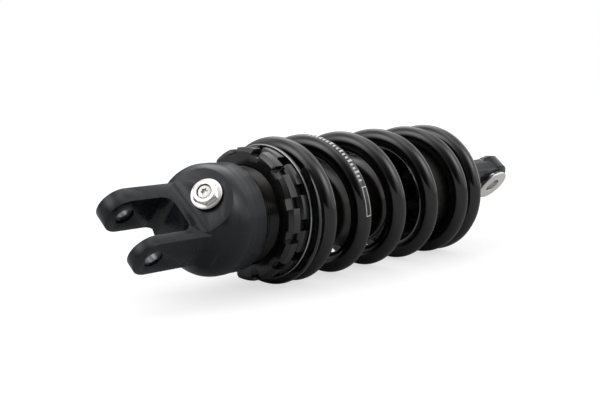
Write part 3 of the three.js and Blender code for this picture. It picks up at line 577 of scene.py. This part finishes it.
def gas_valve():
    stem_end = -(FACET_DROP + VALVE_STEM_L)
    body = lathe("valve_hex_body", rounded([
        (stem_end, 0),
        (stem_end, VALVE_STEM_R),
        (-VALVE_FLANGE_T, VALVE_STEM_R),
        (-VALVE_FLANGE_T, VALVE_FLANGE_R),
        (-0.3, VALVE_FLANGE_R),
        (0, VALVE_FLANGE_R - 0.9),
        (0, 0),
    ], 0.25), 96)
    angles = [TAU * (k + 0.5) / 6 for k in range(6)]
    corners = [(VALVE_HEX_R * math.cos(a), VALVE_HEX_R * math.sin(a)) for a in angles]
    hexagon = prism("valve_hexagon", corners, -0.2, VALVE_HEX_H, "x")
    chamfer = lathe("valve_hex_chamfer", [
        (-1, 0),
        (-1, VALVE_HEX_R + 0.5),
        (VALVE_HEX_H - 1.0, VALVE_HEX_R + 0.3),
        (VALVE_HEX_H, VALVE_HEX_TOP_R),
        (VALVE_HEX_H, 0),
    ], 96)
    cut(hexagon, [chamfer], "INTERSECT")
    cut(body, [hexagon], "UNION")
    cut(body, [cylinder("valve_recess", VALVE_RECESS_R, VALVE_RECESS_FLOOR, 5, 64)])
    bevel(body, 0.14, angle=25, segments=2)
    roll(on_valve_axis(body))
    finish(shade(body), ZINC, "damper", ["gas_valve_body"])

    screw = lathe("valve_screw", rounded([
        (-VALVE_SHANK_L, 0),
        (-VALVE_SHANK_L, VALVE_SHANK_R),
        (VALVE_SCREW_SEAT, VALVE_SHANK_R),
        (VALVE_SCREW_SEAT, VALVE_SCREW_R),
        (VALVE_SCREW_TOP - 0.4, VALVE_SCREW_R),
        (VALVE_SCREW_TOP, VALVE_SCREW_R - 0.4),
        (VALVE_SCREW_TOP, 0),
    ], 0.2), 72)
    lobes = []
    for k in range(72):
        angle = TAU * k / 72
        r = VALVE_SOCKET_R + VALVE_SOCKET_LOBE * math.cos(6 * angle)
        lobes.append((r * math.cos(angle), r * math.sin(angle)))
    cut(screw, [prism("valve_socket", lobes, VALVE_SOCKET_FLOOR, 4.0, "x")])
    bevel(screw, 0.08, angle=35, segments=1)
    roll(on_valve_axis(screw))
    finish(shade(screw), VALVE_STEEL, "damper", ["gas_valve_screw"])

    x0, x1 = VALVE_SEAL_X, VALVE_SEAL_X + VALVE_SEAL_T
    low, high = VALVE_SEAL_BORE_R, VALVE_SEAL_R
    seal = lathe("valve_seal", rounded([(x0, low), (x0, high), (x1, high), (x1, low), (x0, low)], 0.2), 96)
    roll(on_valve_axis(seal))
    finish(shade(seal), RUBBER, "damper", ["gas_valve_seal"])


gas_valve()


# ---------------------------------------------------------------- cylinder tube

THREAD_STEPS = 9  # rows of points along one pitch
# The band below the crest that carries the painted crest highlight.
CREST_HIGHLIGHT_BAND = 0.12  # how far below its crest the thread still counts as crest
TUBE_WAIST_R = TUBE_R - 0.35  # between the thread and the land at the tube's end
TUBE_LAND_X = (TUBE_END_X - 9, TUBE_END_X - 8.7)


def thread_depth(x, angle):
    """How far the thread lies below its crest, in millimetres: flat at the crest and at the root, with
    straight flanks, and fading out at the thread's end."""
    phase = (x / THREAD_PITCH - angle / TAU) % 1.0
    shape = min(1.0, max(0.0, 1.35 * (1 - abs(2 * phase - 1)) - 0.15))
    fade = min(1.0, max(0.0, (THREAD_END_X - x) / (2 * THREAD_PITCH)))
    return THREAD_DEPTH * shape * fade


def cylinder_tube(segments=180):
    rows = [(TUBE_START_X, TUBE_R - 0.5, False), (TUBE_START_X + 0.5, TUBE_R, False)]
    start = HEAD_END_X - 2
    count = round((THREAD_END_X - start) / THREAD_PITCH * THREAD_STEPS)
    rows += [(start + k * THREAD_PITCH / THREAD_STEPS, TUBE_R, True) for k in range(count + 1)]
    groove_start, groove_end = CIRCLIP_GROOVE_X
    groove_r = TUBE_BORE_R + CIRCLIP_GROOVE_DEPTH
    rows += [(x, r, False) for x, r in [
        (THREAD_END_X + 0.3, TUBE_R),
        (THREAD_END_X + 1.2, TUBE_WAIST_R),
        (TUBE_LAND_X[0], TUBE_WAIST_R),
        (TUBE_LAND_X[1], TUBE_R),
        (TUBE_END_X - 1, TUBE_R),
        (TUBE_END_X, TUBE_R - 1),
        (TUBE_END_X, TUBE_BORE_R + 0.3),
        (TUBE_END_X - 0.3, TUBE_BORE_R),
        (groove_end, TUBE_BORE_R),
        (groove_end, groove_r),
        (groove_start, groove_r),
        (groove_start, TUBE_BORE_R),
        (TUBE_START_X, TUBE_BORE_R),
    ]]
    vertices, faces = [], []
    for x, r, threaded in rows:
        for k in range(segments):
            angle = TAU * k / segments
            here = r - (thread_depth(x, angle) if threaded else 0)
            vertices.append((x, here * math.cos(angle), here * math.sin(angle)))
    for i in range(len(rows)):
        a, b = i * segments, ((i + 1) % len(rows)) * segments
        for k in range(segments):
            n = (k + 1) % segments
            faces.append([a + k, a + n, b + n, b + k])
    tube = make_object("threaded_tube", vertices, faces)
    finish(shade(tube, 40), TUBE_BLACK, "damper", ["cylinder_tube"])
    # The crest faces take the painted highlight, a lighter, warmer metal that stands in for the bright
    # lines the crests catch.
    tube.data.materials.append(THREAD_CREST_HIGHLIGHT)
    for face in tube.data.polygons:
        corners = [tube.data.vertices[index].co for index in face.vertices]
        lowest = min(math.hypot(co.y, co.z) for co in corners)
        if face.center.x < THREAD_END_X * MM and lowest > (TUBE_R - CREST_HIGHLIGHT_BAND) * MM:
            face.material_index = 1


cylinder_tube()


# ---------------------------------------------------------------- collars and perch

COLLAR_CHAMFER_L, COLLAR_CHAMFER_H, COLLAR_EDGE, PERCH_EDGE = 1.8, 2.3, 0.5, 0.4


def collar(name, node, body, span, phase):
    """A castellated ring. The phase is the angle of its first notch about the damper axis."""
    x0, x1 = span
    ring = lathe(name, rounded([
        (x0, COLLAR_BORE_R, 0.5),
        (x0, COLLAR_R - COLLAR_CHAMFER_H, 0.3),
        (x0 + COLLAR_CHAMFER_L, COLLAR_R, 0.3),
        (x1 - COLLAR_EDGE, COLLAR_R, 0),
        (x1, COLLAR_R - COLLAR_EDGE, 0),
        (x1, COLLAR_BORE_R, 0.5),
        (x0, COLLAR_BORE_R),
    ], 0.3), 180)
    notches = []
    half, outside = COLLAR_NOTCH_W / 2, COLLAR_R + 3
    for k in range(COLLAR_NOTCHES):
        outline = [(COLLAR_NOTCH_R, -half), (outside, -half), (outside, half), (COLLAR_NOTCH_R, half)]
        notch = prism("notch", outline, x0 - 1, x1 + 1, "x")
        notches.append(transform(notch, Matrix.Rotation(phase + TAU * k / COLLAR_NOTCHES, 4, "X")))
    cut(ring, notches)
    bevel(ring, 0.3, angle=40)
    return finish(shade(ring, 25), COLLAR_BLACK, body, [node])


collar("lock_collar", "lock_ring", "upper_collar", LOCK_RING_X, LOCK_RING_PHASE)
collar("preload_collar", "preload_ring", "lower_collar", PRELOAD_RING_X, PRELOAD_RING_PHASE)


def spring_perch():
    x0, x1 = PERCH_X
    guide_end = x1 + PERCH_GUIDE_L
    perch = lathe("perch_washer", rounded([
        (x0, COLLAR_BORE_R),
        (x0, PERCH_R - PERCH_EDGE, 0.1),
        (x0 + PERCH_EDGE, PERCH_R, 0.1),
        (x1 - PERCH_EDGE, PERCH_R, 0.1),
        (x1, PERCH_R - PERCH_EDGE, 0.1),
        (x1, SPRING_GUIDE_R, 0.6),
        (guide_end - 1, SPRING_GUIDE_R, 0.4),
        (guide_end, SPRING_GUIDE_R - 0.8, 0.3),
        (guide_end, COLLAR_BORE_R, 0.3),
        (x0, COLLAR_BORE_R),
    ], 0.2), 180)
    finish(shade(perch), COLLAR_BLACK, "perch", ["spring_perch"])
    perch.data.materials.append(STEEL)  # the rim's chamfers, worn bright
    for face in perch.data.polygons:
        middle = face.center / MM
        if math.hypot(middle.y, middle.z) > PERCH_R - 0.5 and abs(face.normal.x) > 0.3:
            face.material_index = 1


spring_perch()


# ---------------------------------------------------------------- coil spring

def smoothstep(value, low, high):
    t = min(1.0, max(0.0, (value - low) / (high - low)))
    return t * t * (3 - 2 * t)


class Helix:
    """The middle of the spring's wire: closed at both ends and open between them."""

    SAMPLES = 600

    def __init__(self):
        step = SPRING_TURNS / self.SAMPLES
        self.shares = [0.0]
        for i in range(self.SAMPLES):
            turns = (i + 0.5) * step
            edge = min(turns, SPRING_TURNS - turns)
            share = smoothstep(edge, CLOSED_TURNS, CLOSED_TURNS + PITCH_BLEND_TURNS)
            self.shares.append(self.shares[-1] + step * share)
        self.start = SPRING_X[0] - SPRING_TIP_SINK
        self.length = SPRING_X[1] + SPRING_TIP_SINK - self.start
        self.open_pitch = (self.length - CLOSED_PITCH * SPRING_TURNS) / self.shares[-1]

    def along(self, turns):
        at = turns / SPRING_TURNS * self.SAMPLES
        low = min(max(int(at), 0), self.SAMPLES - 1)
        share = self.shares[low] + (self.shares[low + 1] - self.shares[low]) * (at - low)
        return self.start + CLOSED_PITCH * turns + self.open_pitch * share

    def share_of_stroke(self, turns):
        """0 where the wire stays with the perch, 1 where it moves with the lower seat."""
        opened = (self.along(turns) - self.start - CLOSED_PITCH * turns)
        return opened / (self.length - CLOSED_PITCH * SPRING_TURNS)

    def point(self, turns):
        angle = SPRING_TIP_PHASE + TAU * turns
        return Vector((self.along(turns), COIL_R * math.cos(angle), COIL_R * math.sin(angle)))

    def on_wire(self, turns, girth, radius):
        """A point at a distance from the wire's middle. girth is the angle round the wire: 0 on the
        outside of the coil, and a quarter turn towards the lower eye."""
        middle = self.point(turns)
        ahead = (self.point(turns + 1e-3) - self.point(turns - 1e-3)).normalized()
        outward = Vector((0, middle.y, middle.z)).normalized()
        sideways = outward.cross(ahead)
        if sideways.x < 0:
            sideways = -sideways
        sideways.normalize()
        return middle + radius * (math.cos(girth) * outward + math.sin(girth) * sideways)


HELIX = Helix()


def ride_stroke(obj):
    """Bakes the piece's placement into its mesh."""
    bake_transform(obj)


def coil_spring(rings_per_turn=84, sides=32):
    count = round(SPRING_TURNS * rings_per_turn)
    vertices, faces, shares = [], [], []
    for i in range(count + 1):
        turns = SPRING_TURNS * i / count
        for k in range(sides):
            point = HELIX.on_wire(turns, TAU * k / sides, WIRE_R)
            point.x = min(max(point.x, SPRING_X[0]), SPRING_X[1])
            vertices.append(point)
            shares.append(HELIX.share_of_stroke(turns))
    for i in range(count):
        for k in range(sides):
            n = (k + 1) % sides
            faces.append([i * sides + k, i * sides + n, (i + 1) * sides + n, (i + 1) * sides + k])
    faces.append(list(range(sides)))
    faces.append([count * sides + k for k in reversed(range(sides))])
    spring = shade(make_object("main_spring", vertices, faces), 40)
    spring.data.materials.append(SPRING_PAINT)
    ride_stroke(spring)
    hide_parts("coil_spring")


coil_spring()


# Plain tick marks and an empty frame, painted on the second coil. Places are in turns along the wire
# and, round it, in radians from the outside of the coil.
TICK_START, TICK_PITCH, TICK_COUNT, TICK_FILL = 1.878, 0.0098, 18, 0.5
TICK_GIRTH, SHORT_TICK = (-0.36, 0.22), 0.6
MARK_FRAME = (2.062, 2.128)
MARK_FRAME_GIRTH = (-0.34, 0.26)
MARK_LINE_TURNS, MARK_LINE_GIRTH = 0.0022, 0.07
PAINT_RISE = 0.03


def spring_marks(steps=8, rows=6):
    vertices, faces, shares = [], [], []

    def patch(turns0, turns1, girth0, girth1):
        first = len(vertices)
        for i in range(steps + 1):
            turns = turns0 + (turns1 - turns0) * i / steps
            for k in range(rows + 1):
                girth = girth0 + (girth1 - girth0) * k / rows
                vertices.append(HELIX.on_wire(turns, girth, WIRE_R + PAINT_RISE))
                shares.append(HELIX.share_of_stroke(turns))
        for i in range(steps):
            for k in range(rows):
                a = first + i * (rows + 1) + k
                faces.append([a, a + 1, a + rows + 2, a + rows + 1])

    low, high = TICK_GIRTH
    for number in range(TICK_COUNT):
        turns = TICK_START + number * TICK_PITCH
        top = high if number % 3 == 0 else low + SHORT_TICK * (high - low)
        patch(turns, turns + TICK_FILL * TICK_PITCH, low, top)
    start, end = MARK_FRAME
    low, high = MARK_FRAME_GIRTH
    patch(start, end, low, low + MARK_LINE_GIRTH)
    patch(start, end, high - MARK_LINE_GIRTH, high)
    patch(start, start + MARK_LINE_TURNS, low + MARK_LINE_GIRTH, high - MARK_LINE_GIRTH)
    patch(end - MARK_LINE_TURNS, end, low + MARK_LINE_GIRTH, high - MARK_LINE_GIRTH)
    marks = make_object("spring_rate_ticks", vertices, faces)
    marks.data.shade_smooth()
    marks.data.materials.append(WHITE_PAINT)
    ride_stroke(marks)


spring_marks()


# ---------------------------------------------------------------- shaft, bump stop and lower seat

def damper_shaft():
    rod = lathe("damper_shaft", rounded([
        (STUD_START_X, ROD_BORE_R, 0.2),
        (STUD_START_X, STUD_R - 0.3, 0.3),
        (STUD_START_X + 0.5, STUD_R, 0.2),
        (SHAFT_SHOULDER_X, STUD_R, 0.3),
        (SHAFT_SHOULDER_X, SHAFT_R, 0.4),
        (SHAFT_END_X - 1, SHAFT_R, 0.4),
        (SHAFT_END_X, SHAFT_R - 1, 0.3),
        (SHAFT_END_X, ROD_BORE_R, 0.2),
        (STUD_START_X, ROD_BORE_R),
    ], 0.3), 96)
    finish(shade(rod), CHROME, "rod", ["shaft"])


def bump_stop():
    x0, x1 = BUMP_STOP_X
    middle = (x0 + x1) / 2
    nose, first_lobe, waist, second_lobe, foot = BUMP_STOP_LOBES_R
    bore = SHAFT_R + 0.4
    foam = lathe("bump_stop_foam", rounded([
        (x0, bore, 0.6),
        (x0, nose - 2, 1.2),
        (x0 + 1.5, nose, 1.5),
        (middle - 2, first_lobe, 1.5),
        (middle, waist, 0.8),
        (middle + 2, second_lobe, 1.5),
        (x1, foot, 0.8),
        (x1, bore, 0.4),
        (x0, bore),
    ], 0.5, steps=6), 96)
    finish(shade(foam, 50), FOAM, "seat", ["bump_stop"])


def lower_seat():
    pilot_x, flange_end = SEAT_X - SEAT_PILOT_L, SEAT_X + SEAT_T
    pilot_r = SLEEVE_BORE_R - GAP
    seat = lathe("lower_seat_ring", rounded([
        (pilot_x, SEAT_PILOT_BORE_R, 0.3),
        (pilot_x, pilot_r - 0.4, 0.2),
        (pilot_x + 0.4, pilot_r, 0.2),
        (SEAT_X, pilot_r, 0.2),
        (SEAT_X, SEAT_R, 0.3),
        (flange_end - 1, SEAT_R, 0.5),
        (flange_end, SEAT_R - 1, 0.5),
        (flange_end, SEAT_HUB_R + 2, 1.5),
        (SEAT_HUB_END_X, SEAT_HUB_R, 0.6),
        (SEAT_HUB_END_X, SHAFT_R + GAP, 0.3),
        (SEAT_X, SHAFT_R + GAP, 0.3),
        (SEAT_X, SEAT_PILOT_BORE_R, 0.5),
        (pilot_x, SEAT_PILOT_BORE_R),
    ], 0.3), 160)
    finish(shade(seat), ANODISED, "seat", ["lower_spring_seat"])


def guide_sleeve():
    x0, x1 = SLEEVE_START_X, SLEEVE_END_X
    sleeve = lathe("guide_sleeve", rounded([
        (x0, SLEEVE_BORE_R, 0.2), (x0, SPRING_GUIDE_R - 0.4, 0.2), (x0 + 0.4, SPRING_GUIDE_R, 0.2),
        (x1, SPRING_GUIDE_R, 0.3), (x1, SLEEVE_BORE_R, 0.2), (x0, SLEEVE_BORE_R),
    ], 0.2), 160)
    finish(shade(sleeve), GUIDE_PLASTIC, "seat", ["spring_guide_sleeve"])


damper_shaft()
bump_stop()
lower_seat()
guide_sleeve()


# ---------------------------------------------------------------- lower eye

EYE_X, EYE_OFFSET = 310.5, 2.2
EYE_R, EYE_HALF_W, EYE_CHAMFER = 15.4, 6.6, 1.6
NECK_R, NECK_HALF_T, NECK_START_X, NECK_ROUND_END_X, NECK_TAPER_L = 14.5, 6.4, 256.0, 262.0, 4
KNOB_X, KNOB_R, KNOB_POST, KNOB_BORE_R = (268.4, 274.6), 9.6, 10.2, 2.4
KNOB_GRIPS, KNOB_GRIP_R, KNOB_GRIP_RISE = 24, 0.6, 0.15
RACE_R, RACE_HALF_W, RACE_EDGE, CLIP_T = 11.6, 4.6, 0.3, 0.8
EYE_BORE_R, CLIP_GROOVE_R = RACE_R + 0.2, RACE_R + 1.2
THROUGH = 30  # past the eye on every side, for cutters
BALL_R, BALL_HALF_W, BALL_BORE_R = 9.0, 6.0, 6.6
SPACER_END, SPACER_FLANGE_T, SPACER_FLANGE_R = 9.6, 1.5, 12.2
SPACER_SHOULDER_R, SPACER_STUB_R = 8.0, 6.3
SPACER_START = 0.3  # from the middle of the ball


def block(name, x0, x1, y0, y1, z0, z1):
    return prism(name, [(x0, y0), (x1, y0), (x1, y1), (x0, y1)], z0, z1, "z")


def in_eye(obj):
    """Places a piece made about X, with its middle at x = 0, in the eye, and rolls it."""
    return roll(about_bolt(transform(obj, Matrix.Translation((EYE_OFFSET * MM, 0, 0))), EYE_X))


def lower_eye():
    low, high = EYE_OFFSET - NECK_HALF_T, EYE_OFFSET + NECK_HALF_T
    taper_end = NECK_ROUND_END_X + NECK_TAPER_L
    eye = lathe("eye_end", [
        (NECK_START_X, 0),
        (NECK_START_X, NECK_R - 1),
        (NECK_START_X + 1, NECK_R),
        (NECK_ROUND_END_X, NECK_R),
        (taper_end, NECK_HALF_T),
        (taper_end, 0),
    ], 128)
    web = cylinder("web", NECK_R, NECK_ROUND_END_X - 2, EYE_X - 4, 128)
    cut(web, [block("web_faces", NECK_START_X, EYE_X, low, high, -NECK_R, NECK_R)], "INTERSECT")
    inner, outer = EYE_OFFSET - EYE_HALF_W, EYE_OFFSET + EYE_HALF_W
    barrel = about_bolt(lathe("barrel", [
        (inner, 0),
        (inner, EYE_R - EYE_CHAMFER),
        (inner + EYE_CHAMFER, EYE_R),
        (outer - EYE_CHAMFER, EYE_R),
        (outer, EYE_R - EYE_CHAMFER),
        (outer, 0),
    ], 128), EYE_X)
    cut(eye, [web, barrel], "UNION")
    groove = RACE_HALF_W + 0.4 + CLIP_T
    bore = about_bolt(lathe("bore", [
        (-THROUGH, 0),
        (-THROUGH, EYE_BORE_R),
        (EYE_OFFSET - groove, EYE_BORE_R),
        (EYE_OFFSET - groove, CLIP_GROOVE_R),
        (EYE_OFFSET + groove, CLIP_GROOVE_R),
        (EYE_OFFSET + groove, EYE_BORE_R),
        (THROUGH, EYE_BORE_R),
        (THROUGH, 0),
    ], 128), EYE_X)
    shaft_hole = lathe("shaft_hole", [
        (NECK_START_X - 5, 0),
        (NECK_START_X - 5, SHAFT_R + GAP),
        (SHAFT_END_X + GAP, SHAFT_R + GAP),
        (SHAFT_END_X + GAP, KNOB_BORE_R),
        (KNOB_X[0], KNOB_BORE_R),
        (KNOB_X[0], 0),
    ], 64)
    window = block("window", KNOB_X[0] - GAP, KNOB_X[1] + GAP, -THROUGH, THROUGH, -KNOB_POST, KNOB_POST)
    cut(eye, [bore, shaft_hole, window])
    bevel(eye, 0.4)
    finish(shade(roll(eye), 25), ANODISED, "rod", ["lower_eye"])


def rebound_knob():
    x0, x1 = KNOB_X
    knob = lathe("rebound_dial", rounded([
        (x0, 0),
        (x0, KNOB_R - 0.4),
        (x0 + 0.4, KNOB_R),
        (x1 - 0.4, KNOB_R),
        (x1, KNOB_R - 0.4),
        (x1, 0),
    ], 0.2), 144)
    grooves = []
    rim = Matrix.Translation((0, (KNOB_R + KNOB_GRIP_RISE) * MM, 0))
    for k in range(KNOB_GRIPS):
        groove = cylinder("groove", KNOB_GRIP_R, x0 - 1, x1 + 1, 12)
        grooves.append(transform(groove, Matrix.Rotation(TAU * k / KNOB_GRIPS, 4, "X") @ rim))
    cut(knob, grooves)
    finish(shade(knob), COLLAR_BLACK, "adjuster", ["rebound_knob"])


def bearing():
    bore = BALL_R + GAP
    edge = math.asin(RACE_HALF_W / bore)
    inside = arc(0, 0, bore, math.pi / 2 - edge, math.pi / 2 + edge, 20)
    race = lathe("race_ring", [
        (-RACE_HALF_W, RACE_R - RACE_EDGE),
        (-RACE_HALF_W + RACE_EDGE, RACE_R),
        (RACE_HALF_W - RACE_EDGE, RACE_R),
        (RACE_HALF_W, RACE_R - RACE_EDGE),
        *inside,
        (-RACE_HALF_W, RACE_R - RACE_EDGE),
    ], 96)
    finish(shade(in_eye(race)), ZINC, "rod", ["bearing_race"])

    edge = math.asin(BALL_HALF_W / BALL_R)
    outside = arc(0, 0, BALL_R, math.pi / 2 + edge, math.pi / 2 - edge, 24)
    ball = lathe("ball_ring", [
        (-BALL_HALF_W, BALL_BORE_R),
        *outside,
        (BALL_HALF_W, BALL_BORE_R),
        (-BALL_HALF_W, BALL_BORE_R),
    ], 96)
    finish(shade(in_eye(ball)), CHROME, "ball", ["bearing_ball"])


def eye_spacer(name, node, side):
    """A flanged spacer on one side of the ball."""
    shoulder = BALL_HALF_W + GAP
    flange_x = SPACER_END - SPACER_FLANGE_T
    profile = [
        (SPACER_START, BOLT_BORE_R, 0.2),
        (SPACER_START, SPACER_STUB_R, 0.3),
        (shoulder, SPACER_STUB_R, 0.1),
        (shoulder, SPACER_SHOULDER_R, 0.3),
        (flange_x, SPACER_SHOULDER_R, 0.3),
        (flange_x, SPACER_FLANGE_R, 0.2),
        (SPACER_END - 0.4, SPACER_FLANGE_R, 0.15),
        (SPACER_END, SPACER_FLANGE_R - 0.4, 0.15),
        (SPACER_END, BOLT_BORE_R + 0.5, 0.1),
        (SPACER_END - 0.5, BOLT_BORE_R, 0.1),
        (SPACER_START, BOLT_BORE_R, 0.2),
    ]
    spacer = lathe(name, rounded([(side * x, r, own) for x, r, own in profile], 0.2), 96)
    finish(shade(in_eye(spacer)), ZINC, "spacers", [node])


lower_eye()
rebound_knob()
bearing()
eye_spacer("spacer_near", "eye_spacer_lower", -1)
eye_spacer("spacer_far", "eye_spacer_upper", 1)


# ---------------------------------------------------------------- pieces whose CAD shape is right

CARRIED = {
    "seal_head": ANODISED,
    "seal_head_o_ring": RUBBER,
    "seal_head_circlip": STEEL,
    "shaft_bushing": BRONZE,
    "shaft_seal": RUBBER,
    "shaft_wiper": RUBBER,
    "free_piston": STEEL,
    "free_piston_ring": RUBBER,
    "piston_nut": STEEL,
    "piston": ANODISED,
    "piston_band": BRONZE,
    "top_out_bumper": RUBBER,
    "seat_clip": STEEL,
    "adjuster_rod": STEEL,
    "bearing_clip_lower": STEEL,
    "bearing_clip_upper": STEEL,
}
for number in (1, 2, 3):
    CARRIED[f"compression_shim_{number}"] = STEEL
    CARRIED[f"rebound_shim_{number}"] = STEEL

for node, material in CARRIED.items():
    obj = frame["nodes"][node]
    for material_slot in obj.material_slots:
        material_slot.material = material


# ---------------------------------------------------------------- floor, light and camera

FLOOR_Z, FLOOR_HALF_W = CAD_BOX[0][2] / MM, 4000
FLOOR_WHITE = 0.4
FLOOR_GLOW, FLOOR_GLOW_SEEN = 0.01, 0.67  # as a light, and to the camera
CAMERA_LENS, CAMERA_SENSOR = 61.49, 36
CAMERA_PLACE = (-305.4, -408.5, 85.77)
CAMERA_LOOK = (0.71356, 0.68683, -0.13817)
PANEL_FALLOFF = 16.0
# The panels' azimuths and elevations, in degrees, and their strengths.
PANELS = [
    (0, 8, 1.4),
    (-45, 8, 1.02),
    (-90, 8, 0.55),
    (135, 8, 0.52),
    (90, 8, 0.31),
    (180, 8, 0.25),
    (-70, 40, 3.37),
    (160, 40, 3.12),
    (45, 40, 2.22),
    (-10, 40, 1.01),
    (100, 40, 0.93),
    (-140, 40, 0.17),
    (45, 75, 1.66),
    (225, 75, 1.46),
]


def stage():
    half = FLOOR_HALF_W
    corners = [(-half, -half), (half, -half), (half, half), (-half, half)]
    floor = make_object("floor", [(x, y, FLOOR_Z) for x, y in corners], [(0, 1, 2, 3)])
    n = Nodes("floor_white")
    n.set(Base_Color=(FLOOR_WHITE, FLOOR_WHITE, FLOOR_WHITE, 1), Roughness=0.6,
          Specular_IOR_Level=0.0, Emission_Color=(1, 1, 1, 1))
    seen = n.add("ShaderNodeLightPath").outputs["Is Camera Ray"]
    n.link(n.ramp(seen, FLOOR_GLOW, FLOOR_GLOW_SEEN), n.shader.inputs["Emission Strength"])
    floor.data.materials.append(n.material)


def camera():
    data = bpy.data.cameras.new("camera")
    data.lens = CAMERA_LENS
    data.sensor_width = CAMERA_SENSOR
    data.clip_start = 0.01
    data.clip_end = 50
    obj = bpy.data.objects.new("camera", data)
    bpy.context.scene.collection.objects.link(obj)
    obj.location = Vector(CAMERA_PLACE) * MM
    obj.rotation_euler = Vector(CAMERA_LOOK).to_track_quat("-Z", "Y").to_euler()
    bpy.context.scene.camera = obj


def world():
    """White to look at. As a light it is a set of large soft panels: each glows most along its own
    direction and fades evenly around it."""
    scene_world = bpy.data.worlds.new("studio")
    bpy.context.scene.world = scene_world
    scene_world.use_nodes = True
    n = Tree(scene_world.node_tree)
    background = scene_world.node_tree.nodes["Background"]
    direction = n.add("ShaderNodeTexCoord").outputs["Generated"]
    total = 0.0
    for azimuth, elevation, strength in PANELS:
        around, up = math.radians(azimuth), math.radians(elevation)
        facing = n.add("ShaderNodeVectorMath", operation="DOT_PRODUCT")
        facing.inputs[1].default_value = (
            math.cos(up) * math.cos(around), math.cos(up) * math.sin(around), math.sin(up))
        n.link(direction, facing.inputs[0])
        share = n.math("POWER", n.math("MAXIMUM", facing.outputs["Value"], 0.0), PANEL_FALLOFF)
        total = n.math("ADD", n.math("MULTIPLY", share, strength), total)
    seen = n.add("ShaderNodeMix")
    n.link(n.add("ShaderNodeLightPath").outputs["Is Camera Ray"], seen.inputs[0])
    n.link(total, seen.inputs[2])
    seen.inputs[3].default_value = 1.0
    background.inputs["Color"].default_value = (1, 1, 1, 1)
    n.link(seen.outputs[0], background.inputs["Strength"])


stage()
camera()
world()
bpy.context.scene.view_settings.view_transform = "Standard"
